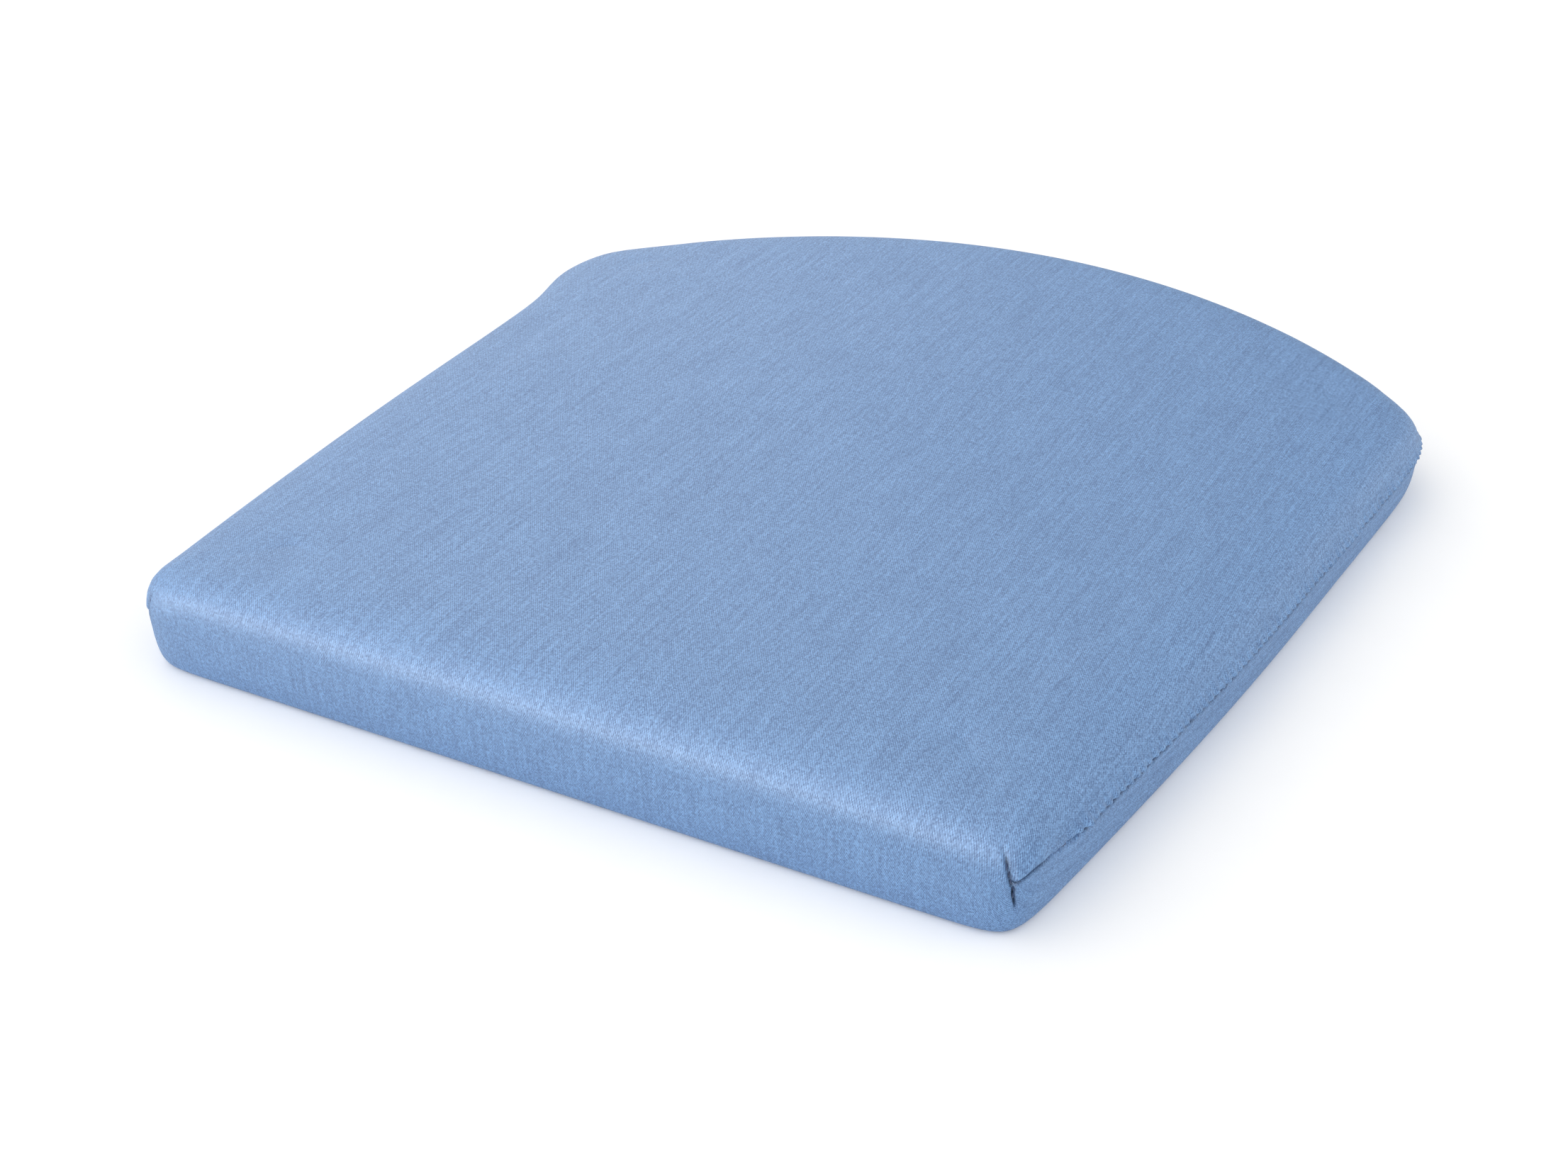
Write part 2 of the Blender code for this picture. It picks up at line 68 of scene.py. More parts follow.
# Cover's outline
OUTLINE_POINTS = 4000
SIDE_BULGE = 4.8 * MM
SIDE_PINCH = 1.4 * MM
PINCH_PLACE = 0.76
PINCH_REACH = 0.22
FRONT_CORNER_BLUR = 12.0 * MM
LEFT_BACK_BLUR = 6.5 * MM
RIGHT_BACK_BLUR = 14.0 * MM
BACK_BLUR_FROM = 50.0 * MM
BACK_BLUR_OVER = 30.0 * MM
TRUE_ARC_MARGIN = math.radians(5.5)
TRUE_ARC_FADE = math.radians(2.5)
LEFT_EAR = 7.8 * MM
LEFT_EAR_FORWARD = 30.0 * MM
RIGHT_EAR = -1.2 * MM
EAR_REACH = 32.0 * MM

# Cover's section
FRONT_THICKNESS = 43.4 * MM
BACK_CORNER_THICKNESS = 35.4 * MM
CROWN_POWER = 1.82
TOP_ROLL_FRONT = 40.0 * MM
TOP_ROLL_BACK = 26.0 * MM
TOP_ROLL_POWER = 3.3
BOTTOM_ROLL = 6.4 * MM
BOTTOM_ROLL_POWER = 2.5
ROLL_BLUR = 30.0 * MM
SEAM_FRONT_HEIGHT = 25.8 * MM
SEAM_BACK_HEIGHT = 20.8 * MM
SEAM_LEVELS_AT = math.radians(37.0)
SEAM_LEVELS_OVER = math.radians(6.0)
RIM_STEP = 1.5 * MM

# Side seam: two lips with a groove between them, gathered a little by every stitch
SEAM_PITCH = 5.0 * MM
LIP_UPPER = 1.9 * MM
LIP_LOWER = 0.65 * MM
LIP_PLACE = 1.25 * MM
LIP_BELOW = 0.75 * MM
LIP_ABOVE = 3.0 * MM
GROOVE_DEPTH = 3.8 * MM
GROOVE_WIDTH = 0.66 * MM
PUCKER = 0.24
PULL = 0.12 * MM
PULL_REACH = 7.0 * MM
SEAM_STARTS = 14.0 * MM
SEAM_FULL = 27.0 * MM
SHADE_STARTS = 36.0 * MM
SHADE_WIDTH = {"upper": 0.6 * MM, "lower": 1.25 * MM}

# Front corners: the dart, the fold that runs out of it, and the mouth where the seam opens again.
# Runs are distances past the dart along the side, and heights are above the floor.
DART_PLACE = -0.6 * MM
DART_LOW = 11.5 * MM
DART_HIGH = 32.0 * MM
DART_SLANT = 0.21
DART_UPRIGHT_AT = 22.595 * MM
DART_JOG = 0.5 * MM
DART_JOG_HEIGHT = 21.0 * MM
DART_JOG_REACH = 1.2 * MM
DART_DEPTH = 1.6 * MM
DART_WIDTH = 0.45 * MM
DART_SHADE_WIDTH = 0.6 * MM
LEFT_DART_SHARE = 0.4
FLAP_LOW = 0.5 * MM
FLAP_HIGH = 1.2 * MM
FLAP_REACH = 6.0 * MM
FOLD_RISE = 1.5 * MM
FOLD_TOP = 12.0 * MM
FOLD_REACH = 9.0 * MM
FOLD_DROP = 2.4 * MM
FOLD_DEPTH = 4.6 * MM
FOLD_LIP_SHARE = 0.75
FOLD_LIP_REACH = 5.0 * MM
TUFT_SIZE = 1.5 * MM
TUFT_RUN = 41.0 * MM
TUFT_HEIGHT = 27.4 * MM
MOUTH_DEPTH = 1.6 * MM
MOUTH_RUN = 44.0 * MM
MOUTH_HEIGHT = 25.4 * MM
DENT_DEPTH = 0.5 * MM
DENT_HEIGHT = 18.0 * MM

# Zip, as angles about the arch's centre and distances from the cover's face or from the zip's line
SLIT_HALF_ANGLE = math.radians(33.7)
SLIT_END = math.radians(0.7)
CHANNEL_HALF_ANGLE = math.radians(36.0)
TAPE_HALF_ANGLE = math.radians(35.3)
TACK_ANGLE = math.radians(34.4)
TEETH_HALF_ANGLE = math.radians(32.5)
TOOTH_PITCH = 1.45 * MM / ARC_RADIUS
SLIT_HALF_HEIGHT = 4.9 * MM
SLIT_ROW = 2.7 * MM
CLOSED_SLIT = 0.12 * MM
CHANNEL_HALF_HEIGHT = 10.9 * MM
CHANNEL_DEPTH = 4.0 * MM
CLOTH = 0.8 * MM
TAPE_THICKNESS = 0.45 * MM
TOPSTITCH_PLACE = 7.0 * MM

# Cloth simulation
CLOTH_SETTINGS = {
    "quality": 5,
    "mass": 0.3,
    "tension_stiffness": 40,
    "compression_stiffness": 40,
    "shear_stiffness": 15,
    "bending_stiffness": 2.0,
    "use_pressure": True,
    "uniform_pressure_force": 1.5,
    "vertex_group_mass": "held",
}
FRAMES = 20
MOST_SWELL = 1.7 * MM
SIDEWAYS_SHARE = 0.35
WALL_SHARE = 0.5
WALL_SMOOTHING = 3
TOP_SMOOTHING = 14

# Weave
WARP_PITCH = 0.467 * MM
WEFT_PITCH = 0.69 * MM
TWILL_SHARE = 0.4
LIGHT_YARN = (0.202, 0.388, 0.690, 1.0)
DARK_YARN = (0.060, 0.130, 0.284, 1.0)
# Painted shade: the colour that the cloth is darkened towards deep in its creases
CREASE_SHADE_BLUE = (0.022, 0.050, 0.110, 1.0)

# Camera, then the studio: brightness of its walls and (name, place, size, power, lights evenly)
CAMERA_YAW = 0.493
CAMERA_PITCH = 0.5217
CAMERA_DISTANCE = 0.8933
CAMERA_TARGET = Vector((0.0223, Y_FRONT + 0.1448, 0.0185))
CAMERA_LENS = 51.5
STUDIO_BRIGHT = 1.10
STUDIO_DIM = 0.05
TOWARDS_DIM = (0.05, 0.999, 0.0)
SOFTBOXES = (
    ("key_light", (-0.9, -1.3, 1.9), 2.4, 3.0, True),
    ("front_gloss", (-0.7, -0.7, 1.5), 2.6, 50.0, False),
    ("low_gloss", (-0.9, -1.7, 0.6), 2.4, 140.0, False),
    ("back_gloss", (-1.3, 1.7, 1.2), 1.4, 17.0, False),
    ("side_gloss", (1.2, 1.8, 0.6), 1.4, 14.0, False),
)

# Mesh density
FINE = 190
FINE_FAR_ROWS = 22
FILLING = 60
SWELL_ACROSS = 44
SWELL_ALONG = 46
DART_ZONES = ((60.0 * MM, 1.4), (3.0 * MM, 5.0))
NEAR_SEAM = np.array([0.0, 0.3, 0.6, 0.95, 1.4, 2.1, 3.2, 4.6]) * MM
NEAR_SWELL = np.array([0.0, 4.8]) * MM
EVENING_STEPS = 300


def smoothstep(x):
    x = np.clip(x, 0.0, 1.0)
    return x * x * (3 - 2 * x)


def ramp(x, start, width):
    """Rises smoothly from 0 to 1 as x goes on from start by width."""
    return smoothstep((x - start) / width)


def bell(x, width):
    """A smooth bump, 1 in the middle."""
    return np.exp(-((x / width) ** 2))


def lengths(vectors):
    """The lengths of rows of vectors, as a column."""
    return np.linalg.norm(vectors, axis=1)[:, None]


def run_along(path):
    """Distance from a path's start to each of its points."""
    return np.concatenate([[0], np.cumsum(lengths(np.diff(path, axis=0)))])


# ---- outline and form


def blurred(points, width):
    """A closed line of evenly spaced points, rounded off over a given width."""
    step = np.linalg.norm(points[1] - points[0])
    frequency = np.fft.fftfreq(len(points)) * 2 * np.pi
    keep = np.exp(-0.5 * (frequency * width / step) ** 2)[:, None]
    return np.real(np.fft.ifft(np.fft.fft(points, axis=0) * keep, axis=0))


def outward(points):
    along = np.roll(points, -1, 0) - np.roll(points, 1, 0)
    along /= lengths(along)
    return np.stack([along[:, 1], -along[:, 0]], 1)


def arch_angle(points):
    return np.arctan2(points[..., 0] - ARC_CENTRE[0], points[..., 1] - ARC_CENTRE[1])


def dense_outline(inset=0.0, back_inset=0.0):
    """The plan outline, counter-clockwise from the front left corner, with softened corners."""
    t = np.linspace(0, 1, 400, endpoint=False)
    half = math.asin(BACK_HALF / ARC_RADIUS)
    front_y = Y_FRONT + inset
    front = np.stack([FRONT_HALF * (2 * t - 1), np.full_like(t, front_y)], 1)
    pinch = SIDE_PINCH * bell(t - PINCH_PLACE, PINCH_REACH) * np.clip((1 - t) * 10, 0, 1)
    side_x = blend(FRONT_HALF, BACK_HALF, t) + SIDE_BULGE * 4 * t * (1 - t) - pinch - inset
    right = np.stack([side_x, blend(front_y, Y_CORNER, t)], 1)
    left = right[::-1] * (-1, 1)
    angle = half * (1 - 2 * t)
    back = ARC_CENTRE + (ARC_RADIUS - back_inset) * np.stack([np.sin(angle), np.cos(angle)], 1)
    closed = np.vstack([front, right, back, left, front[:1]])
    run = run_along(closed)
    even = np.linspace(0, run[-1], OUTLINE_POINTS, endpoint=False)
    points = np.stack([np.interp(even, run, closed[:, k]) for k in (0, 1)], 1)
    at_back = 1 / (1 + np.exp((BACK_BLUR_FROM - points[:, 1:]) / BACK_BLUR_OVER))
    at_right = ramp(points[:, :1], -40 * MM, 80 * MM)
    soft_back = blend(blurred(points, LEFT_BACK_BLUR), blurred(points, RIGHT_BACK_BLUR), at_right)
    soft = blend(blurred(points, FRONT_CORNER_BLUR), soft_back, at_back)
    # The arch keeps its true radius away from the back corners, where the zip runs.
    on_arch = ramp(-np.abs(arch_angle(points)), TRUE_ARC_MARGIN - half, TRUE_ARC_FADE)[:, None]
    on_arch *= points[:, 1:] > Y_CORNER - 20 * MM
    soft = blend(soft, points, on_arch)
    # The slack corner on the left stands out like a pillow's ear, and the one on the right is drawn in.
    ear = 0
    for side, size, forward in ((-1, LEFT_EAR, LEFT_EAR_FORWARD), (1, RIGHT_EAR, 0)):
        corner = (side * BACK_HALF, Y_CORNER - forward)
        ear = ear + size * bell(lengths(soft - corner), EAR_REACH) * (1 - on_arch)
    return soft + outward(soft) * ear


def side_shares(cells, length, dart_at):
    """Shares from 0 to 1 along one side of the outline, closer together near its dart, if any."""
    x = np.linspace(0, 1, 4001)
    density = np.ones_like(x)
    for reach, more in DART_ZONES if dart_at is not None else ():
        density += more * np.exp(-(((x * length - dart_at) / reach) ** 4))
    total = np.concatenate([[0], np.cumsum((density[1:] + density[:-1]) / 2)])
    return np.interp(np.linspace(0, total[-1], cells + 1), total, x)


def perimeter(outline, across, along):
    """Places of the stations along the outline: across on the front and the back, along on each side."""
    ends = [(-FRONT_HALF, Y_FRONT), (FRONT_HALF, Y_FRONT), (BACK_HALF, Y_CORNER), (-BACK_HALF, Y_CORNER)]
    index = [int(np.argmin(lengths(outline - np.array(end)))) for end in ends]
    step = lengths(np.diff(outline, axis=0)).mean()
    places = []
    for k, cells in enumerate((across, along, across, along)):
        span = (index[(k + 1) % 4] - index[k]) % OUTLINE_POINTS
        length = span * step
        dart_at = {1: DART_PLACE, 3: length - DART_PLACE}.get(k)
        shares = side_shares(cells, length, dart_at)[:-1]
        places.append((index[k] + shares * span) % OUTLINE_POINTS)
    return np.concatenate(places)


def sampled(values, places):
    """Values on a closed line, at places given as fractional numbers of its points."""
    low = np.floor(places).astype(int)
    part = (places - low)[:, None]
    count = len(values)
    return blend(values[low % count], values[(low + 1) % count], part)


def on_back(points):
    return points[..., 1] > Y_FRONT + 0.8 * SIDE_DEPTH


def depth_share(y):
    return np.clip((y - Y_FRONT) / SIDE_DEPTH, 0, 1)


def blend(front, back, share):
    return front + (back - front) * share


def thickness(x, y):
    """Full in the middle and along the front, thinner along the sides towards the back corners."""
    v = depth_share(y)
    u = np.clip(np.abs(x) / blend(FRONT_HALF, BACK_HALF, v), 0, 1)
    edge = blend(FRONT_THICKNESS, BACK_CORNER_THICKNESS, np.sqrt(v))
    return blend(edge, FRONT_THICKNESS, 1 - u ** CROWN_POWER)


def seam_height(points):
    height = blend(SEAM_FRONT_HEIGHT, SEAM_BACK_HEIGHT, depth_share(points[:, 1]))
    to_zip = ramp(-np.abs(arch_angle(points)), -SEAM_LEVELS_AT - SEAM_LEVELS_OVER, SEAM_LEVELS_OVER)
    return blend(height, ZIP_HEIGHT, to_zip * on_back(points))


def fold_bend(run):
    """How far the seam line is bent near the dart: it climbs, then drops into the dart as a fold."""
    high = FOLD_RISE * bell(run - FOLD_TOP, FOLD_REACH)
    low = FOLD_DROP * (1 - ramp(run, -2 * MM, 11 * MM))
    return (high - low) * ramp(run, -25 * MM, 23 * MM)


def slit_share(points):
    return ramp(-np.abs(arch_angle(points)), -SLIT_HALF_ANGLE - SLIT_END, SLIT_END) * on_back(points)


def in_channel(points, margin=0.0):
    return (np.abs(arch_angle(points)) < CHANNEL_HALF_ANGLE + margin) & on_back(points)


def ring_index(across, along):
    """Grid (row, column) of each station of a face's rim, in the stations' order."""
    front = [(0, c) for c in range(across)]
    right = [(r, across) for r in range(along)]
    back = [(along, across - c) for c in range(across)]
    left = [(along - r, 0) for r in range(along)]
    return np.array(front + right + back + left)


def coons(ring, across, along):
    """A grid inside a closed ring of stations: rows from front to back, columns from left to right."""
    grid = np.zeros((along + 1, across + 1, 2))
    grid[tuple(ring_index(across, along).T)] = ring
    u = np.linspace(0, 1, across + 1)[None, :, None]
    v = np.linspace(0, 1, along + 1)[:, None, None]
    ends = blend(blend(grid[0, 0], grid[0, -1], u), blend(grid[-1, 0], grid[-1, -1], u), v)
    grid = blend(grid[:1], grid[-1:], v) + blend(grid[:, :1], grid[:, -1:], u) - ends
    # The ring's corners are round, so the cells there are evened out by a fixed number of averaging steps,
    # so that they don't overlap one another.
    for _ in range(EVENING_STEPS):
        sides = grid[1:-1, :-2] + grid[1:-1, 2:] + grid[:-2, 1:-1] + grid[2:, 1:-1]
        grid[1:-1, 1:-1] = sides / 4
    return grid


def run_past_dart(points, across):
    """Distance of each station from the nearest dart, along the side that it is on."""
    run = run_along(np.vstack([points, points[:1]]))
    past_front = run[:-1] - run[2 * across]
    left = np.where(past_front > 0, run[-1] - run[:-1], -run[:-1])
    return np.where(points[:, 0] > 0, past_front, left) - DART_PLACE


class Wall:
    """The wall on one side of the seam: a quarter of a superellipse that ends level, at the rim."""

    def __init__(self, points, normals, rim, level, start, power, near, far_rows, slit):
        turn = np.linspace(0, np.pi / 2, 161)
        self.share = 1 - np.cos(turn) ** (2 / power)
        self.lift = np.sin(turn) ** (2 / power)
        self.points = points
        self.normals = normals
        self.start = start
        self.reach = rim - points
        self.level = level
        rise = level(rim[:, 0], rim[:, 1]) - start
        steps = np.hypot(np.diff(self.share) * lengths(self.reach), np.outer(rise, np.diff(self.lift))).T
        self.run = np.vstack([np.zeros((1, len(points))), np.cumsum(steps, 0)])
        fixed = np.repeat(near[:, None], len(points), 1)
        fixed[-1] += slit * SLIT_ROW
        spread = np.arange(1, far_rows + 1)[:, None] / far_rows
        self.wanted = np.vstack([fixed, blend(fixed[-1], self.run[-1], spread)])
        self.rows = self.at(self.wanted)

    def at(self, wanted, out=0.0):
        """Points at distances up the wall from the seam, moved outwards by out."""
        rows = np.empty(wanted.shape + (3,))
        for i in range(len(self.points)):
            share = np.interp(wanted[:, i], self.run[:, i], self.share)
            lift = np.interp(wanted[:, i], self.run[:, i], self.lift)
            rows[:, i, :2] = self.points[i] + self.reach[i] * share[:, None] + self.normals[i] * out
            level = self.level(rows[:, i, 0], rows[:, i, 1])
            rows[:, i, 2] = blend(self.start[i], level, lift)
        return rows

    def line(self, distance, out):
        """One row of points at the same distance up the wall all the way round."""
        return self.at(np.full((1, len(self.points)), distance), out)[0]


def cushion_form(across, along, near, far_rows, inset=0.0, back_inset=0.0, slit=False):
    """Wall rows above and below the seam, and the two faces' grids, which have half the stations."""
    outline = dense_outline(inset, back_inset)
    places = perimeter(outline, 2 * across, 2 * along)
    points = sampled(outline, places)
    normals = sampled(outward(outline), places)
    soft = blurred(outline, ROLL_BLUR)
    soft_normals = sampled(outward(soft), places)
    roll = blend(TOP_ROLL_FRONT, TOP_ROLL_BACK, depth_share(points[:, 1:]))
    rim = sampled(soft, places) - soft_normals * roll
    run = run_past_dart(points, across)
    seam = seam_height(points) + fold_bend(run)
    opening = slit_share(points) if slit else 0 * run

    def top(x, y):
        return thickness(x, y) - inset

    def bottom(x, y):
        return 0 * x + inset

    base = points - normals * BOTTOM_ROLL
    upper = Wall(points, normals, rim, top, seam, TOP_ROLL_POWER, near, far_rows, opening)
    lower = Wall(points, normals, base, bottom, seam, BOTTOM_ROLL_POWER, near, far_rows, opening)
    faces = {}
    for key, wall, inward in (("over", upper, soft_normals), ("under", lower, normals)):
        ring = wall.rows[-1, ::2, :2] - inward[::2] * RIM_STEP
        grid = coons(ring, across, along)
        faces[key] = np.dstack([grid, wall.level(grid[..., 0], grid[..., 1])])
    return {
        "points": points,
        "normals": normals,
        "flat": np.concatenate([normals, np.zeros((len(points), 1))], axis=1),
        "downhill": (points - rim) / lengths(points - rim),
        "run": run,
        "walls": {"upper": upper, "lower": lower},
        "upper": upper.rows.copy(),
        "lower": lower.rows.copy(),
        # Painted shade of each wall point, filled in by the seam's groove, the fold, the darts and the
        # mouth.
        "shade": {"upper": 0 * upper.wanted, "lower": 0 * lower.wanted},
        "across": across,
        "along": along,
        **faces,
    }


def form_faces(form):
    """Vertex numbers of the wall and the two grids, all faces, and which faces are below the seam."""
    rim = ring_index(form["across"], form["along"])
    seam_row = len(form["upper"]) - 1
    rows = seam_row + len(form["lower"])
    count = len(form["points"])
    wall = np.arange(rows * count).reshape(rows, count)
    ids = {"wall": wall}
    ahead = np.roll(np.arange(count), -1)
    blocks = [np.stack([a, b, b[ahead], a[ahead]], 1) for a, b in zip(wall[:-1], wall[1:])]
    below = [k >= seam_row for k in range(rows - 1)]
    total = wall.size
    for key, ring, flip in (("over", wall[0], False), ("under", wall[-1], True)):
        shape = form[key].shape[:2]
        numbers = total + np.arange(shape[0] * shape[1]).reshape(shape)
        total += numbers.size
        ids[key] = numbers
        quads = [numbers[:-1, :-1], numbers[:-1, 1:], numbers[1:, 1:], numbers[1:, :-1]]
        coarse = numbers[rim[:, 0], rim[:, 1]]
        after = np.roll(coarse, -1)
        first, second = ring.reshape(-1, 2).T
        third = np.roll(first, -1)
        joins = ((coarse, first, second), (coarse, second, after), (after, second, third))
        for corners in ([quad.ravel() for quad in quads], *joins):
            block = np.stack(corners, 1)
            blocks.append(block[:, ::-1] if flip else block)
            below.append(flip)
    return ids, blocks, below


def new_object(name, verts, faces, smooth=True):
    """A mesh object in the scene."""
    mesh = bpy.data.meshes.new(name)
    mesh.from_pydata(np.reshape(verts, (-1, 3)).tolist(), [], faces)
    if smooth:
        mesh.shade_smooth()
    obj = bpy.data.objects.new(name, mesh)
    bpy.context.scene.collection.objects.link(obj)
    return obj


def finish(obj, node, material):
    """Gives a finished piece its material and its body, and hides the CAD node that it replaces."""
    obj.data.materials.append(material)
    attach(obj, "cushion")
    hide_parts(node)


def wall_rows(rows):
    """The rows of both walls in the mesh's order, from the top rim down to the base."""
    return np.concatenate([rows["upper"][::-1], rows["lower"][1:]])


def form_mesh(name, form):
    """Joins wall rows and faces into one closed mesh."""
    ids, blocks, below = form_faces(form)
    verts = np.vstack([grid.reshape(-1, 3) for grid in (wall_rows(form), form["over"], form["under"])])
    obj = new_object(name, verts, [face for block in blocks for face in block.tolist()])
    under_faces = np.concatenate([np.full(len(block), flag) for block, flag in zip(blocks, below)])
    return obj, ids, under_faces


def read(items, name, width=1, kind=float):
    """One property of all of a mesh's vertices, corners or faces."""
    flat = np.empty(len(items) * width, kind)
    items.foreach_get(name, flat)
    return flat.reshape(-1, width) if width > 1 else flat


# ---- cloth simulation


def smoothed(grid, wrap, times):
    """A grid of vectors, averaged lightly with its neighbours; the columns may close on themselves."""
    for _ in range(times):
        for axis, closed in ((0, False), (1, wrap)):
            mean = 0.5 * grid + 0.25 * (np.roll(grid, -1, axis) + np.roll(grid, 1, axis))
            if not closed:
                for edge in (0, -1):
                    last = (edge,) if axis == 0 else (slice(None), edge)
                    mean[last] = grid[last]
            grid = mean
    return grid


def simulate_swell():
    """Blows up a coarse copy of the cover, held at its seam and underside, and returns its moves."""
    form = cushion_form(SWELL_ACROSS, SWELL_ALONG, NEAR_SWELL, 4)
    obj, ids, _ = form_mesh("swelling_cover", form)
    seam_row = len(form["upper"]) - 1
    group = obj.vertex_groups.new(name="held")
    held = np.concatenate([ids["wall"][seam_row], ids["under"].ravel()])
    group.add(np.unique(held).tolist(), 1.0, "REPLACE")
    before = read(obj.data.vertices, "co", 3)
    cloth = obj.modifiers.new("cloth", "CLOTH")
    for name, value in CLOTH_SETTINGS.items():
        setattr(cloth.settings, name, value)
    cloth.settings.effector_weights.gravity = 0
    cloth.point_cache.frame_start = 1
    cloth.point_cache.frame_end = FRAMES
    for number in range(1, FRAMES + 1):
        bpy.context.scene.frame_set(number)
    posed = obj.evaluated_get(bpy.context.evaluated_depsgraph_get())
    move = read(posed.data.vertices, "co", 3) - before
    bpy.data.objects.remove(obj, do_unlink=True)
    bpy.context.scene.frame_set(1)
    move[:, :2] *= SIDEWAYS_SHARE
    size = lengths(move)
    move *= MOST_SWELL * np.tanh(size / MOST_SWELL) / np.maximum(size, 1e-9)
    move[:, 2] = np.maximum(move[:, 2], 0)
    over = smoothed(move[ids["over"]], False, TOP_SMOOTHING)
    wall = smoothed(move[ids["wall"]], True, WALL_SMOOTHING) * WALL_SHARE
    wall[seam_row] = 0
    # The wall's top row follows the rim of the upper face, and the rows below follow it less and less.
    rim = ring_index(SWELL_ACROSS, SWELL_ALONG)
    ring = over[rim[:, 0], rim[:, 1]]
    ring = np.stack([ring, (ring + np.roll(ring, -1, 0)) / 2], 1).reshape(-1, 3)
    gap = ring - wall[0]
    for row in range(seam_row):
        wall[row] += gap * smoothstep(1 - row / seam_row)
    return {"form": form, "upper": wall[: seam_row + 1][::-1], "lower": wall[seam_row:], "over": over}


def stretch_grid(grid, rows, columns):
    """A grid of vectors resampled to more rows and columns."""
    for axis, count in ((0, rows), (1, columns)):
        values = np.moveaxis(grid, axis, 0)
        place = np.linspace(0, len(values) - 1, count)
        low = np.minimum(place.astype(int), len(values) - 2)
        part = (place - low)[:, None, None]
        grid = np.moveaxis(blend(values[low], values[low + 1], part), 0, axis)
    return grid


def add_swell(form, swell):
    """Carries the simulated moves, if there are any, over to another form."""
    if not swell:
        return
    coarse = swell["form"]
    form["over"] += stretch_grid(swell["over"], form["along"] + 1, form["across"] + 1)
    sides = ("across", "along", "across", "along")
    corner = np.cumsum([0] + [2 * coarse[side] for side in sides])
    for key in ("upper", "lower"):
        rows = swell[key]
        closed = np.concatenate([rows, rows[:, :1]], axis=1)
        pieces = []
        for k, side in enumerate(sides):
            part = closed[:, corner[k] : corner[k + 1] + 1]
            pieces.append(stretch_grid(part, len(rows), 2 * form[side] + 1)[:, :-1])
        spread = np.concatenate(pieces, axis=1)
        run = coarse["walls"][key].wanted.mean(1)
        wanted = form["walls"][key].wanted
        for i in range(spread.shape[1]):
            for axis in range(3):
                move = np.interp(wanted[:, i] / wanted[-1, i], run / run[-1], spread[:, i, axis])
                form[key][:, i, axis] += move


# ---- the cover


def gentle_noise(a, b, reach, seed):
    """Smooth unevenness between about -1 and 1, from crossed waves of unlike lengths."""
    total = 0
    rng = np.random.default_rng(seed)
    for _ in range(7):
        angle, phase = rng.uniform(0, 2 * np.pi, 2)
        length = reach * rng.uniform(0.6, 1.7)
        total = total + np.sin(2 * np.pi * (a * math.cos(angle) + b * math.sin(angle)) / length + phase)
    return total / 3.5


def sew_walls(form):
    """Lips, groove and puckers along the seam, from the dart round to the zip's ends, and the painted shade
    in its groove and fold.
    """
    points = form["points"]
    run = form["run"]
    from_zip = np.abs(arch_angle(points)) - CHANNEL_HALF_ANGLE
    sewn = 0.25 * ramp(run, SEAM_STARTS, 5 * MM) + 0.75 * ramp(run, SEAM_FULL, 8 * MM)
    sewn *= np.where(on_back(points), smoothstep(from_zip / math.radians(1.0)), 1.0)
    sewn *= np.abs(points[:, 0]) > 0.4 * FRONT_HALF
    folded = ramp(run, 0.2 * MM, 1.2 * MM) * ramp(-run, -19 * MM, 8 * MM)
    folded *= np.where(points[:, 0] > 0, 1.0, LEFT_DART_SHARE)
    # Painted shade along the fold, and along the groove past where the seam opens again.
    shaded = folded + sewn * ramp(run, SHADE_STARTS, 4 * MM)
    phase = np.cos(2 * np.pi * run / SEAM_PITCH)
    uneven = gentle_noise(run, 0 * run, 34 * MM, 5)
    depth = GROOVE_DEPTH * (1 - 0.25 * phase - 0.1 * uneven)
    pull = PULL * np.cos(np.pi * run / SEAM_PITCH + 2 * uneven)
    for key, lip in (("upper", LIP_UPPER), ("lower", LIP_LOWER)):
        wanted = form["walls"][key].wanted
        from_lip = wanted - LIP_PLACE
        groove = bell(wanted, GROOVE_WIDTH)
        proud = lip * (1 + PUCKER * phase + 0.22 * uneven)
        proud = proud * bell(from_lip, np.where(from_lip < 0, LIP_BELOW, LIP_ABOVE)) - depth * groove
        proud += pull * bell(wanted, PULL_REACH) * (from_lip > 0)
        fold = FOLD_LIP_SHARE * lip * bell(wanted, FOLD_LIP_REACH) * (wanted > 0.5 * MM)
        fold -= FOLD_DEPTH * groove
        form[key][..., :2] += (proud * sewn + fold * folded)[..., None] * form["normals"]
        form["shade"][key] += shaded * bell(wanted, SHADE_WIDTH[key])


def dart_lean(z):
    """How far along the wall the dart lies at a height: it leans, with a small jog at the seam."""
    return (DART_UPRIGHT_AT - z) * DART_SLANT + DART_JOG * bell(z - DART_JOG_HEIGHT, DART_JOG_REACH)


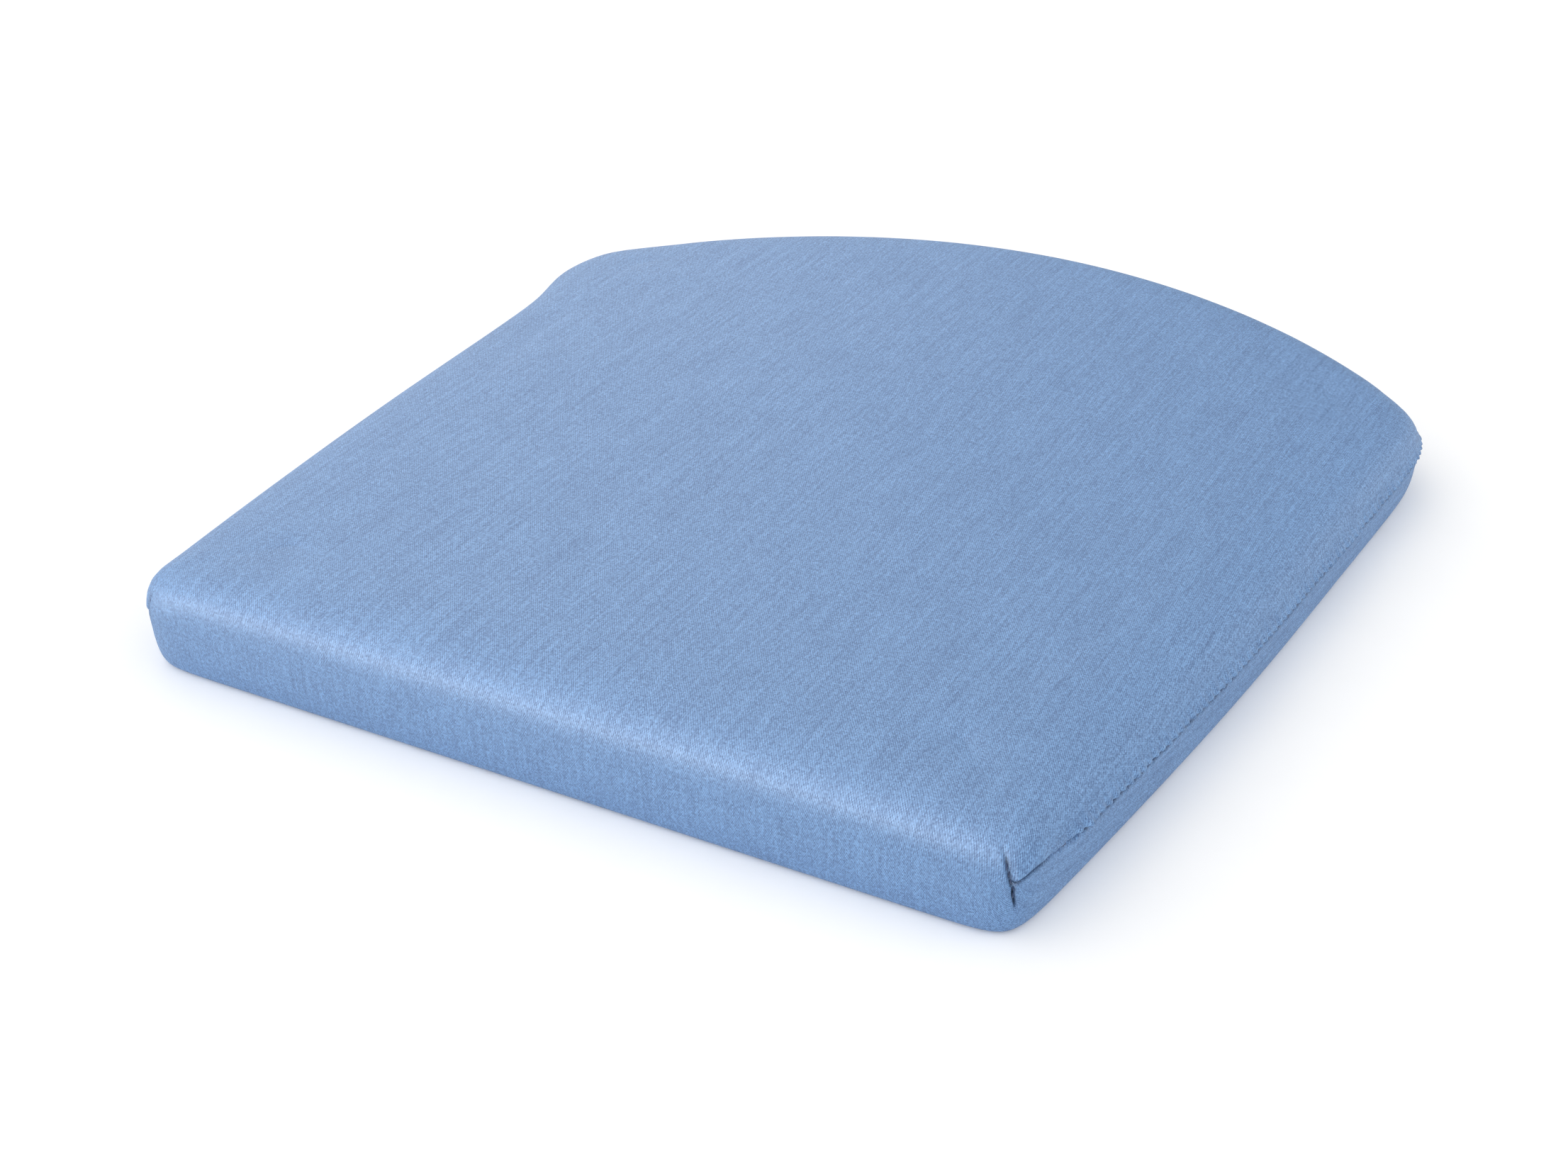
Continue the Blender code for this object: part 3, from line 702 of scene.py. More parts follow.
def corner_pleats(form):
    """The dart up each front corner, and the tuft and the mouth where the seam opens again, with painted
    shade in the dart and the mouth.
    """
    points = form["points"]
    near = (np.abs(form["run"]) < 0.09) & (points[:, 1] < Y_FRONT + 0.09)
    run = np.where(near, form["run"], 1.0)
    tall = np.where(points[:, 0] > 0, 1.0, LEFT_DART_SHARE)
    for key in ("upper", "lower"):
        z = form[key][..., 2]
        along = run - dart_lean(z)
        span = ramp(z, DART_LOW, 4 * MM) * ramp(-z, -DART_HIGH - 2.5 * MM, 2.5 * MM)
        crease = DART_DEPTH * bell(along, DART_WIDTH)
        flap = np.exp(-np.clip(along, 0, None) / FLAP_REACH) * smoothstep(along / (0.6 * MM))
        flap *= blend(FLAP_LOW, FLAP_HIGH, ramp(z, 23.5 * MM, 1.5 * MM))
        before = 0.35 * MM * bell(along + 1.6 * MM, 1.5 * MM) * (along < 0)
        tuft = bell(run - TUFT_RUN, 3.4 * MM) * bell(z - TUFT_HEIGHT, 1.4 * MM)
        mouth = bell(run - MOUTH_RUN, 5.5 * MM) * bell(z - MOUTH_HEIGHT, 0.8 * MM)
        # A soft crease that falls from the dart towards the front.
        slant = run + 2.2 * MM + (z - DENT_HEIGHT) * 0.75
        dent = bell(slant, 1.1 * MM) * bell(z - DENT_HEIGHT, 3.5 * MM) * (run < 1.5 * MM)
        move = (flap + before - crease) * span + TUFT_SIZE * tuft - MOUTH_DEPTH * mouth - DENT_DEPTH * dent
        form[key][..., :2] += (move * tall)[..., None] * form["normals"]
        # Painted shade in the dart's crease and in the mouth.
        form["shade"][key] += (bell(along, DART_SHADE_WIDTH) * span + 1.6 * mouth) * tall


def cut_channel(form):
    """Moves the rows nearest the seam into the zip's channel, behind the cloth's turned edges."""
    points = form["points"]
    here = in_channel(points)
    half = blend(CLOSED_SLIT, SLIT_HALF_HEIGHT, slit_share(points))
    full = np.full(len(points), CHANNEL_HALF_HEIGHT)
    for key in ("upper", "lower"):
        path = (
            (-CHANNEL_DEPTH, 0 * half),
            (-CHANNEL_DEPTH, full),
            (-CLOTH, full),
            (-CLOTH, half + 1.6 * MM),
            (-CLOTH + 0.12 * MM, half),
            (-0.12 * MM, half),
            (0.0, half + 0.3 * MM),
        )
        for row, (out, up) in enumerate(path):
            place = form["walls"][key].at(up[None], out)[0]
            if out == -CHANNEL_DEPTH:
                place[:, :2] = points + form["normals"] * out
            form[key][row, here] = place[here]


def soften_top(form):
    """Slight unevenness of a soft top, which fades out towards the rim."""
    grid = form["over"]
    x = grid[..., 0]
    y = grid[..., 1]
    wave = 0.45 * MM * gentle_noise(x, y, 120 * MM, 11) + 0.16 * MM * gentle_noise(x, y, 45 * MM, 12)
    rows = np.linspace(0, 1, grid.shape[0])[:, None]
    columns = np.linspace(0, 1, grid.shape[1])[None]
    near = np.minimum(np.minimum(rows, 1 - rows), np.minimum(columns, 1 - columns))
    grid[..., 2] += wave * smoothstep(near / 0.06)


def add_cloth_map(obj, form, ids, under_faces):
    """A UV map in metres of cloth: one cloth that wraps the front and is cut at the seam."""
    walls = form["walls"]
    seam_row = len(form["upper"]) - 1
    wrap = walls["upper"].wanted[-1].mean() + walls["lower"].wanted[-1].mean()
    places = {}
    for key, face, downhill in (("upper", "over", form["downhill"]), ("lower", "under", form["normals"])):
        run = walls[key].wanted
        drop = (run[-1] - run)[..., None]
        place = np.zeros((len(obj.data.vertices), 2))
        rows = ids["wall"][seam_row::-1] if key == "upper" else ids["wall"][seam_row:]
        place[rows] = walls[key].rows[-1, :, :2] + downhill * drop
        place[ids[face]] = form[face][..., :2]
        places[key] = place
    places["lower"][:, 1] = 2 * Y_FRONT - wrap - places["lower"][:, 1]
    corners = read(obj.data.loops, "vertex_index", kind=np.int32)
    sizes = read(obj.data.polygons, "loop_total", kind=np.int32)
    under_corner = np.repeat(under_faces, sizes)[:, None]
    uv = np.where(under_corner, places["lower"][corners], places["upper"][corners])
    layer = obj.data.uv_layers.new(name="cloth")
    layer.data.foreach_set("uv", uv.astype(np.float32).ravel())


def add_crease_shade(obj, form, ids):
    """Painted shade: how deep in a crease each point lies, for darkening the cloth's colour where less
    light reaches it.
    """
    shade = np.zeros(len(obj.data.vertices), np.float32)
    shade[ids["wall"]] = np.clip(wall_rows(form["shade"]), 0, 1)
    layer = obj.data.attributes.new("crease", "FLOAT", "POINT")
    layer.data.foreach_set("value", shade)


def make_cover(swell, material):
    form = cushion_form(FINE, FINE, NEAR_SEAM, FINE_FAR_ROWS, slit=True)
    add_swell(form, swell)
    soften_top(form)
    sew_walls(form)
    corner_pleats(form)
    cut_channel(form)
    form["lower"][0] = form["upper"][0]
    obj, ids, under_faces = form_mesh("woven_cover", form)
    add_cloth_map(obj, form, ids, under_faces)
    add_crease_shade(obj, form, ids)
    finish(obj, "cover_fabric", material)
    return form


def make_filling(name, node, inset, back_inset, swell, material):
    """A soft solid inside the cover, clear of the zip's channel."""
    form = cushion_form(FILLING, FILLING, NEAR_SWELL, 7, inset, back_inset)
    add_swell(form, swell)
    grid = form["over"]
    grid[..., 2] += 0.3 * MM * gentle_noise(grid[..., 0], grid[..., 1], 30 * MM, 21) - 0.4 * MM
    obj, _, _ = form_mesh(name, form)
    finish(obj, node, material)


# ---- threads

# Rings of half a rod, inwards: (place along it, size, how far the rounded end draws it back)
ROD_RINGS = ((1.0, 0.0, 0.0), (1.0, 0.55, 0.17), (1.0, 0.9, 0.55), (0.45, 1.0, 0.0))
ROD_SIDES = 8


def rods(name, node, slot, material, centres, axes, normals, half, wide, high, sag=0.0):
    """A piece of many short rounded rods, each closed, with ends that may dive by sag."""
    cap = min(wide / half, 0.9)
    side = np.cross(axes, normals)
    turn = np.arange(ROD_SIDES) * 2 * np.pi / ROD_SIDES
    rings = []
    start = [(-place, size, back) for place, size, back in ROD_RINGS]
    for place, size, back in (*start, (0.0, 1.0, 0.0), *ROD_RINGS[::-1]):
        along = place * (1 - cap * back)
        middle = centres + axes * (along * half) - normals * (sag * along ** 2)
        if size == 0:
            rings.append(middle[:, None])
            continue
        circle = normals[:, None] * (high * np.cos(turn))[None, :, None]
        circle = circle + side[:, None] * (wide * np.sin(turn))[None, :, None]
        rings.append(middle[:, None] + size * circle)
    verts = np.concatenate(rings, axis=1)
    last = verts.shape[1] - 1
    step = np.arange(ROD_SIDES)
    sides = list(zip(step, (step + 1) % ROD_SIDES))
    faces = [(0, 1 + b, 1 + a) for a, b in sides]
    for low in range(1, last - ROD_SIDES, ROD_SIDES):
        faces += [(low + a, low + b, low + ROD_SIDES + b, low + ROD_SIDES + a) for a, b in sides]
    faces += [(last, last - ROD_SIDES + a, last - ROD_SIDES + b) for a, b in sides]
    firsts = range(0, len(centres) * (last + 1), last + 1)
    obj = new_object(name, verts, [tuple(v + first for v in face) for first in firsts for face in faces])
    finish(obj, node, material)


def along_path(path, normals, pitch):
    """Centres, directions and outward normals at even steps along a path."""
    run = run_along(path)
    places = np.arange(0.5 * pitch, run[-1] - 0.3 * pitch, pitch)

    def sample(values, at):
        return np.stack([np.interp(at, run, values[:, k]) for k in range(3)], 1)

    ahead = sample(path, places + 0.3 * MM) - sample(path, places - 0.3 * MM)
    ahead /= lengths(ahead)
    out = sample(normals, places)
    out -= ahead * (out * ahead).sum(1)[:, None]
    return sample(path, places), ahead, out / lengths(out)


def make_side_stitches(form, material):
    """Stitches at the bottom of the seam's groove, from each dart to the zip's tack."""
    run = form["run"]
    points = form["points"]
    sewn = (run > 24 * MM) & (np.abs(points[:, 0]) > 0.3 * FRONT_HALF)
    sewn &= ~in_channel(points, math.radians(0.3))
    for name, side in (("right", 1), ("left", -1)):
        chosen = np.nonzero(sewn & (side * points[:, 0] > 0))[0]
        order = chosen[np.argsort(run[chosen])]
        out = form["flat"][order]
        path = form["walls"]["upper"].rows[0, order] - out * 0.25 * MM
        stitches = along_path(path, out, SEAM_PITCH)
        size = (1.75 * MM, 0.26 * MM, 0.24 * MM, 0.5 * MM)
        node = "side_seam_thread_" + name
        rods("side_seam_stitches_" + name, node, "thread", material, *stitches, *size)


def make_dart_stitches(form, material):
    """A few short stitches that show in the dart's crease."""
    run = form["run"]
    smooth = wall_rows({key: form["walls"][key].rows for key in ("upper", "lower")})
    for name, side in (("right", 1), ("left", -1)):
        path = []
        normals = []
        here = np.nonzero((side * form["points"][:, 0] > 0) & (np.abs(run) < 9 * MM))[0]
        here = here[np.argsort(run[here])]
        for z in np.linspace(DART_HIGH, 15.5 * MM, 45):
            column = here[np.argmin(np.abs(run[here] - dart_lean(z)))]
            row = np.argmin(np.abs(smooth[:, column, 2] - z))
            normals.append(form["flat"][column])
            path.append(smooth[row, column] - normals[-1] * 0.25 * MM)
        stitches = along_path(np.array(path), np.array(normals), 3.4 * MM)
        size = (1.1 * MM, 0.2 * MM, 0.2 * MM, 0.35 * MM)
        node = "corner_dart_thread_" + name
        rods("corner_dart_stitches_" + name, node, "thread", material, *stitches, *size)


def arch_stations(points, half_angle):
    """Numbers of the stations on the arch within an angle, in order."""
    phi = arch_angle(points)
    there = np.nonzero((np.abs(phi) < half_angle) & on_back(points))[0]
    return there[np.argsort(phi[there])]


def make_zip_stitches(form, material):
    """Rows of topstitching above and below the zip's opening, and a bar tack at each end."""
    order = arch_stations(form["points"], SLIT_HALF_ANGLE)
    for name in ("upper", "lower"):
        path = form["walls"][name].line(TOPSTITCH_PLACE, 0.08 * MM)[order]
        stitches = along_path(path, form["flat"][order], 2.8 * MM)
        size = (1.15 * MM, 0.2 * MM, 0.2 * MM, 0.22 * MM)
        node = "zipper_stitching_" + name
        rods("zip_topstitching_" + name, node, "thread", material, *stitches, *size)
    for name, side in (("right", 1), ("left", -1)):
        node = "zipper_tack_" + name
        low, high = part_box(node)
        angles = side * TACK_ANGLE + np.linspace(-0.8, 0.8, 9) * MM / ARC_RADIUS
        out, centres = arch_places(angles, 0.25 * MM, 0.0)
        tangent = np.stack([out[:, 1], -out[:, 0], 0 * angles], 1)
        slant = np.where(np.arange(len(angles)) % 2, 0.09, -0.09)
        axes = np.array([0, 0, 1.0]) + tangent * slant[:, None]
        axes /= lengths(axes)
        size = ((high.z - low.z) / 2, 0.17 * MM, 0.2 * MM, 0.2 * MM)
        rods("zip_tack_" + name, node, "thread", material, centres, axes, out, *size)


# ---- zip and label


def arch_places(angles, out, up):
    """Outward directions at angles about the arch's centre, and places out from the zip's line."""
    directions = np.stack([np.sin(angles), np.cos(angles), 0 * angles], 1)
    return directions, directions * (ARC_RADIUS + out) + np.array([*ARC_CENTRE, ZIP_HEIGHT + up])


def make_zip_teeth(material):
    """Moulded teeth of the two rows, set half a step apart, with a thin gap for the slider's neck."""
    first = 0.5 * TOOTH_PITCH - TEETH_HALF_ANGLE
    for name, side, shift in (("upper", 1.0, 0.0), ("lower", -1.0, 0.5)):
        angles = np.arange(first + shift * TOOTH_PITCH, TEETH_HALF_ANGLE - 0.5 * TOOTH_PITCH, TOOTH_PITCH)
        out, middle = arch_places(angles, -0.36 * MM, side * 1.22 * MM)
        axes = np.repeat([[0, 0, side]], len(angles), 0)
        size = (0.86 * MM, 0.5 * MM, 0.5 * MM)
        node = "zipper_teeth_" + name
        rods("zip_teeth_" + name, node, "zip_teeth", material, middle, axes, out, *size)


def ribbon(name, loops, smooth):
    """A closed thin strip through loops of points, each of which runs along one face and back."""
    stations, count = loops.shape[:2]
    ids = np.arange(stations * count).reshape(stations, count)
    faces = []
    for a, b in zip(ids[:-1], ids[1:]):
        faces += np.stack([a, np.roll(a, -1), np.roll(b, -1), b], 1).tolist()
    for end in (ids[0], ids[-1, ::-1]):
        for k in range(count // 2 - 1):
            faces.append([int(v) for v in (end[k], end[k + 1], end[count - 2 - k], end[count - 1 - k])])
    obj = new_object(name, loops, faces, smooth)
    shell = bmesh.new()
    shell.from_mesh(obj.data)
    bmesh.ops.recalc_face_normals(shell, faces=shell.faces)
    shell.to_mesh(obj.data)
    shell.free()
    return obj


# Rows of a tape's front: distances from the zip's line, and depths, 0 where it follows the wall
TAPE_ROWS = (1.0, 1.15, 1.7, 2.3, 2.45, 4.9, 6.5, 8.5, 10.1)
TAPE_DEPTHS = (1.45, 1.32, 1.32, 1.32, 1.35, 1.35, 0, 0, 0)


def make_zip_tapes(form, material):
    """Woven tapes behind the cloth's turned edges, with a beaded edge by the teeth."""
    points = form["points"]
    normals = form["normals"]
    order = arch_stations(points, TAPE_HALF_ANGLE)
    for key in ("upper", "lower"):
        face = []
        for up, depth in zip(TAPE_ROWS, TAPE_DEPTHS):
            front = -depth * MM
            place = form["walls"][key].line(up * MM, -CLOTH - 0.12 * MM)
            behind = np.sum((place[:, :2] - points) * normals, axis=1) < front
            follow = (behind | (front == 0))[:, None]
            place[:, :2] = np.where(follow, place[:, :2], points + normals * front)
            face.append(place[order])
        back = [row - form["flat"][order] * TAPE_THICKNESS for row in face[::-1]]
        obj = ribbon("zip_tape_" + key, np.stack(face + back, 1), False)
        finish(obj, "zipper_tape_" + key, material)


def make_label(material):
    """A blank folded ribbon that hangs from the left-hand seam, a little away from the wall."""
    low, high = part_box("care_label")
    drop = high.z - low.z - 0.8 * MM
    gap = 0.30 * MM
    thick = 0.20 * MM
    turn = np.linspace(0, np.pi, 9)[1:-1]
    leg = np.linspace(0, drop, 13)
    bend = np.stack([gap / 2 * (1 - np.cos(turn)), -drop - gap / 2 * np.sin(turn)], 1)
    down = np.stack([0 * leg, -leg], 1)
    line = np.vstack([down, bend, down[::-1] + (gap, 0)])
    along = np.gradient(line, axis=0)
    along /= lengths(along)
    side = np.stack([-along[:, 1], along[:, 0]], 1)
    profile = np.vstack([line + side * thick / 2, (line - side * thick / 2)[::-1]])
    share = np.linspace(0, 1, 31)[:, None]
    out, height = profile.T
    fall = np.minimum(1.0, -height / drop)
    wave = 0.5 * MM * np.sin(2.2 * math.pi * share + 0.4)
    lean = 0.75 * MM + 1.7 * MM * fall ** 1.6 + wave * fall
    x = high.x + (low.x - high.x + 0.5 * MM) * share - out - lean
    y = low.y + (high.y - low.y) * share + 0 * x
    obj = ribbon("folded_label", np.stack([x, y, high.z + height + 0 * x], 2), True)
    finish(obj, "care_label", material)


# ---- materials


class Nodes:
    """Short calls for building the node tree of a material or a world."""

    def __init__(self, owner):
        owner.use_nodes = True
        self.owner = owner
        self.tree = owner.node_tree
        self.shader = self.tree.nodes.get("Principled BSDF")

    def put(self, value, socket):
        if isinstance(value, bpy.types.NodeSocket):
            self.tree.links.new(value, socket)
        else:
            socket.default_value = value

    def feed(self, node, **inputs):
        """Links or sets a node's inputs, named with underscores for spaces."""
        for key, value in inputs.items():
            self.put(value, node.inputs[key.replace("_", " ")])

    def add(self, kind, settings=None, **inputs):
        node = self.tree.nodes.new(kind)
        for key, value in (settings or {}).items():
            setattr(node, key, value)
        self.feed(node, **inputs)
        return node

    def math(self, operation, *values, clamp=False):
        node = self.add("ShaderNodeMath", {"operation": operation, "use_clamp": clamp})
        for socket, value in zip(node.inputs, values):
            self.put(value, socket)
        return node.outputs[0]

    def scaled(self, value, gain, more=0.0):
        return self.math("MULTIPLY_ADD", value, gain, more)

    def wave(self, value, length):
        return self.math("SINE", self.scaled(value, 2 * math.pi / length))

    def mix(self, factor, a, b):
        return self.add("ShaderNodeMix", {"data_type": "RGBA"}, Factor=factor, A=a, B=b).outputs["Result"]

    def noise(self, place, scale, detail=2.0, roughness=0.5):
        node = self.add("ShaderNodeTexNoise", Vector=place, Scale=scale, Detail=detail, Roughness=roughness)
        return node.outputs["Fac"]

    def stretched(self, place, scale):
        return self.add("ShaderNodeMapping", Vector=place, Scale=scale).outputs["Vector"]

    def between(self, value, low, high):
        return self.add("ShaderNodeMapRange", Value=value, From_Min=low, From_Max=high).outputs["Result"]

    def streaks(self, place, scale, detail=2.0, roughness=0.5, low=0.30):
        """Stretched noise, spread over the whole range from 0 to 1."""
        return self.between(self.noise(self.stretched(place, scale), 1.0, detail, roughness), low, 1 - low)

    def object_place(self):
        return self.add("ShaderNodeTexCoord").outputs["Object"]

    def surface(self, colour, roughness, height, depth, strength, **more):
        """The finished surface's colour, roughness and relief, and returns its material."""
        bump = self.add("ShaderNodeBump", Strength=strength, Distance=depth, Height=height)
        self.feed(self.shader, Base_Color=colour, Roughness=roughness, **more)
        self.feed(self.shader, Normal=bump.outputs["Normal"])
        return self.owner


def new_material(name):
    return Nodes(bpy.data.materials.new(name))


def rgb(red, green, blue):
    """A linear colour with alpha from 8-bit display values."""

    def linear(value):
        share = value / 255
        return share / 12.92 if share <= 0.04045 else ((share + 0.055) / 1.055) ** 2.4

    return (linear(red), linear(green), linear(blue), 1.0)


def cloth_material():
    """Plain weave of uneven light and dark blue yarns, with slubs that run from front to back, and painted
    shade that darkens the creases.
    """
    n = new_material("blue_chambray")
    place = n.add("ShaderNodeUVMap", {"uv_map": "cloth"}).outputs["UV"]
    split = n.add("ShaderNodeSeparateXYZ", Vector=place)
    wander = n.scaled(n.noise(n.stretched(place, (35, 35, 1)), 1.0, 1.0), 2.5)
    end = n.scaled(split.outputs["X"], 1 / WARP_PITCH, wander)
    pick = n.scaled(split.outputs["Y"], 1 / WEFT_PITCH, wander)
    # Warp yarns show on one half of the squares of a checkerboard, weft yarns on the other half.
    end_turn = n.scaled(end, math.pi)
    pick_turn = n.scaled(pick, math.pi)
    plain = n.math("MULTIPLY", n.math("SINE", end_turn), n.math("SINE", pick_turn))
    twill = n.math("MULTIPLY", n.math("COSINE", end_turn), n.math("COSINE", pick_turn))
    over = n.scaled(twill, -TWILL_SHARE, plain)
    warp_shows = n.between(over, -0.35, 0.35)
    cell = n.add("ShaderNodeCombineXYZ", X=n.math("FLOOR", end), Y=n.math("FLOOR", pick))
    square = n.add("ShaderNodeTexWhiteNoise", {"noise_dimensions": "2D"}, Vector=cell.outputs["Vector"])
    warp_tone = n.scaled(n.streaks(place, (2100, 45, 1), 3.0, 0.6), 0.60, 0.32)
    weft_tone = n.scaled(n.streaks(place, (60, 1400, 1), 3.0, 0.6), 0.35, 0.06)
    slub = n.streaks(place, (520, 16, 1))
    speck = n.streaks(place, (900, 760, 1), 2.0, 0.6)
    cloud = n.streaks(place, (28, 28, 1), 3.0, 0.5, 0.25)
    tone = n.math("MULTIPLY_ADD", warp_shows, n.math("SUBTRACT", warp_tone, weft_tone), weft_tone)
    for value, weight in ((square.outputs["Value"], 0.55), (speck, 0.26), (slub, 0.20), (cloud, 0.06)):
        tone = n.math("ADD", tone, n.scaled(value, weight, -0.5 * weight))
    tone = n.math("MAXIMUM", n.math("MINIMUM", tone, 1.3), 0.0)
    # Painted shade: the crease attribute darkens the cloth's colour towards CREASE_SHADE_BLUE in the seam's
    # groove, the fold, the dart and the mouth.
    crease = n.add("ShaderNodeAttribute", {"attribute_name": "crease"}).outputs["Fac"]
    colour = n.mix(crease, n.mix(tone, DARK_YARN, LIGHT_YARN), CREASE_SHADE_BLUE)
    height = n.scaled(slub, 0.8, n.math("ABSOLUTE", over))
    n.feed(n.shader, Specular_IOR_Level=0.5, Sheen_Weight=0.03, Sheen_Roughness=0.35)
    return n.surface(colour, n.scaled(tone, -0.14, 0.66), height, 0.12 * MM, 0.5)


def speckled(name, dark, light, scale, roughness, relief, stretch=(1, 1, 1), sheen=0.0):
    """A material of uneven tone and fine relief, from noise at two sizes."""
    n = new_material(name)
    place = n.object_place()
    fine = n.noise(n.stretched(place, stretch), scale, 4.0, 0.6)
    broad = n.noise(place, scale * 0.08)
    tone = n.scaled(n.between(fine, 0.3, 0.7), 0.7, n.scaled(broad, 0.3))
    rough = n.scaled(fine, 0.25, roughness - 0.12)
    return n.surface(n.mix(tone, dark, light), rough, fine, relief, 0.6, Sheen_Weight=sheen)


def thread_material():
    """Dark blue two-ply thread, with a slanting twist."""
    n = new_material("twisted_thread")
    place = n.object_place()
    split = n.add("ShaderNodeSeparateXYZ", Vector=place)
    run = n.math("ADD", split.outputs["Y"], n.math("ADD", split.outputs["X"], split.outputs["Z"]))
    twist = n.wave(run, 0.45 * MM)
    fuzz = n.noise(place, 5200, 3.0, 0.6)
    tone = n.math("MULTIPLY_ADD", twist, 0.2, fuzz, clamp=True)
    colour = n.mix(tone, rgb(24, 44, 84), rgb(52, 84, 138))
    return n.surface(colour, 0.6, n.math("ADD", twist, fuzz), 0.08 * MM, 0.7, Sheen_Weight=0.3)


def tape_material():
    """Knitted polyester tape: chevron ribs that follow the arch."""
    n = new_material("knitted_tape")
    place = n.object_place()
    split = n.add("ShaderNodeSeparateXYZ", Vector=place)
    from_centre = n.math("SUBTRACT", split.outputs["Y"], float(ARC_CENTRE[1]))
    angle = n.math("ARCTAN2", split.outputs["X"], from_centre)
    rise = n.math("SUBTRACT", split.outputs["Z"], float(ZIP_HEIGHT))
    chevron = n.math("PINGPONG", rise, 0.6 * MM)
    rib = n.wave(n.scaled(angle, float(ARC_RADIUS), chevron), 0.7 * MM)
    height = n.scaled(n.wave(rise, 0.6 * MM), 0.6, rib)
    tone = n.math("MULTIPLY_ADD", height, 0.2, n.noise(place, 3000, 2.0, 0.6), clamp=True)
    colour = n.mix(tone, rgb(58, 88, 138), rgb(98, 134, 186))
    return n.surface(colour, 0.75, height, 0.12 * MM, 0.6, Sheen_Weight=0.2)


def metal_material():
    """Nickel plate with fine tumbled scratches and duller edges."""
    n = new_material("nickel_plate")
    place = n.object_place()
    scratch = n.noise(n.stretched(place, (1, 1, 14)), 900, 4.0, 0.65)
    colour = n.mix(n.noise(place, 260), rgb(176, 178, 182), rgb(212, 213, 216))
    material = n.surface(colour, n.scaled(scratch, 0.3, 0.14), scratch, 0.04 * MM, 0.25, Metallic=1.0)
    edge = n.add("ShaderNodeBevel", Radius=0.3 * MM)
    n.feed(n.tree.nodes["Bump"], Normal=edge.outputs["Normal"])
    return material


def ribbon_material():
    """White satin ribbon: long floats across it and a faint selvedge rib."""
    n = new_material("satin_ribbon")
    place = n.object_place()
    split = n.add("ShaderNodeSeparateXYZ", Vector=place)
    height = n.scaled(n.wave(split.outputs["Y"], 0.4 * MM), 0.4, n.wave(split.outputs["Z"], 0.28 * MM))
    colour = n.mix(n.noise(place, 320, 3.0), rgb(222, 222, 219), rgb(243, 243, 241))
    return n.surface(colour, 0.42, height, 0.06 * MM, 0.35, Anisotropic=0.5)


def repaint(node, material):
    """Gives a carried-over CAD node its finished material."""
    mesh = frame["nodes"][node].data
    mesh.materials.clear()
    mesh.materials.append(material)


# ---- camera, floor and light


def make_camera():
    level = math.cos(CAMERA_PITCH)
    ahead = Vector((-math.sin(CAMERA_YAW) * level, math.cos(CAMERA_YAW) * level, -math.sin(CAMERA_PITCH)))
    data = bpy.data.cameras.new("camera")
    data.lens = CAMERA_LENS
    data.sensor_width = 36.0
    camera = bpy.data.objects.new("camera", data)
    camera.location = CAMERA_TARGET - ahead * CAMERA_DISTANCE
    camera.rotation_euler = ahead.to_track_quat("-Z", "Y").to_euler()
    bpy.context.scene.collection.objects.link(camera)
    bpy.context.scene.camera = camera


def make_floor():
    """A white paper floor just below the cushion, faintly lit from within so that it stays pale."""
    bpy.ops.mesh.primitive_plane_add(size=9.0, location=(0, 0, -0.2 * MM))
    floor = bpy.context.object
    floor.name = "floor"
    n = new_material("studio_floor")
    paper = n.noise(n.object_place(), 40.0)
    colour = n.mix(paper, (0.94, 0.94, 0.94, 1.0), (0.96, 0.96, 0.96, 1.0))
    n.feed(n.shader, Base_Color=colour, Roughness=0.9, Specular_IOR_Level=0.1)
    n.feed(n.shader, Emission_Color=(1.0, 1.0, 1.0, 1.0), Emission_Strength=0.08)
    floor.data.materials.append(n.owner)


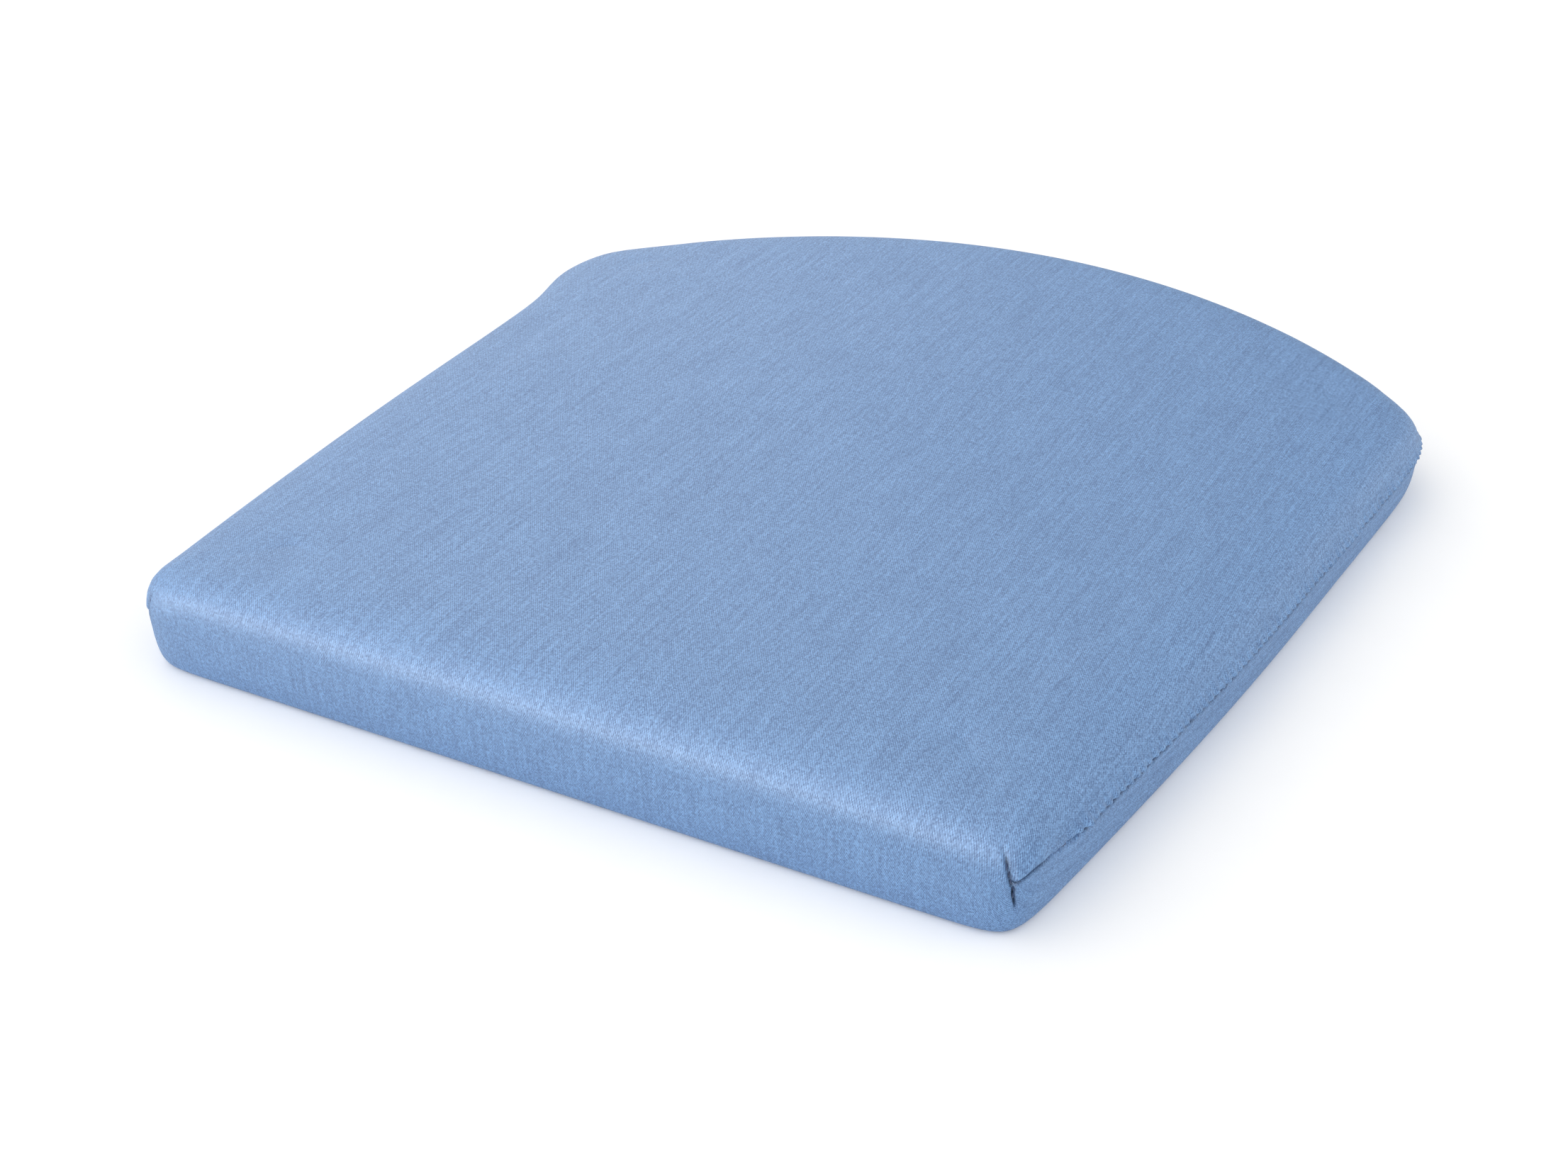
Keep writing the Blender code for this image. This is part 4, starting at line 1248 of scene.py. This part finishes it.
def make_world():
    """A white studio with one dim side, beyond the arched edge."""
    n = Nodes(bpy.data.worlds.new("studio"))
    direction = n.add("ShaderNodeTexCoord").outputs["Generated"]
    beyond = n.add("ShaderNodeVectorMath", {"operation": "DOT_PRODUCT"})
    n.put(direction, beyond.inputs[0])
    n.put(TOWARDS_DIM, beyond.inputs[1])
    fade = n.add("ShaderNodeMapRange", {"interpolation_type": "SMOOTHSTEP"}, Value=beyond.outputs["Value"])
    n.feed(fade, From_Min=0.60, From_Max=0.86, To_Min=STUDIO_BRIGHT, To_Max=STUDIO_DIM)
    background = n.tree.nodes["Background"]
    n.feed(background, Color=(1.0, 1.0, 1.0, 1.0), Strength=fade.outputs["Result"])
    bpy.context.scene.world = n.owner


def add_softbox(name, place, size, power, lights_evenly):
    """A round softbox that faces the cushion; some only add a gloss and no even light."""
    data = bpy.data.lights.new(name, "AREA")
    data.shape = "DISK"
    data.size = size
    data.energy = power
    light = bpy.data.objects.new(name, data)
    light.location = place
    light.rotation_euler = (-Vector(place)).to_track_quat("-Z", "Y").to_euler()
    light.visible_diffuse = lights_evenly
    bpy.context.scene.collection.objects.link(light)


# ---- build

make_camera()
make_floor()
make_world()
for softbox in SOFTBOXES:
    add_softbox(*softbox)
bpy.context.scene.view_settings.view_transform = "Standard"

swell_moves = simulate_swell()
cover_rows = make_cover(swell_moves, cloth_material())
white = (rgb(214, 214, 210), rgb(244, 244, 242))
wadding = speckled("fibre_wadding", *white, 700, 0.95, 0.4 * MM, (1, 1, 3), 0.4)
foam = speckled("open_cell_foam", rgb(206, 196, 158), rgb(236, 228, 194), 1500, 0.95, 0.3 * MM)
make_filling("wadding_batt", "wadding_wrap", 1.7 * MM, 5.2 * MM, swell_moves, wadding)
make_filling("foam_core", "foam_pad", 7.6 * MM, 10.5 * MM, swell_moves, foam)

thread = thread_material()
make_side_stitches(cover_rows, thread)
make_dart_stitches(cover_rows, thread)
make_zip_stitches(cover_rows, thread)

make_zip_tapes(cover_rows, tape_material())
make_zip_teeth(speckled("moulded_nylon", rgb(62, 90, 136), rgb(92, 122, 172), 1200, 0.38, 0.03 * MM))
metal = metal_material()
for name in ("top_stop_upper", "top_stop_lower", "bottom_stop", "slider", "pull_tab"):
    repaint("zipper_" + name, metal)
make_label(ribbon_material())
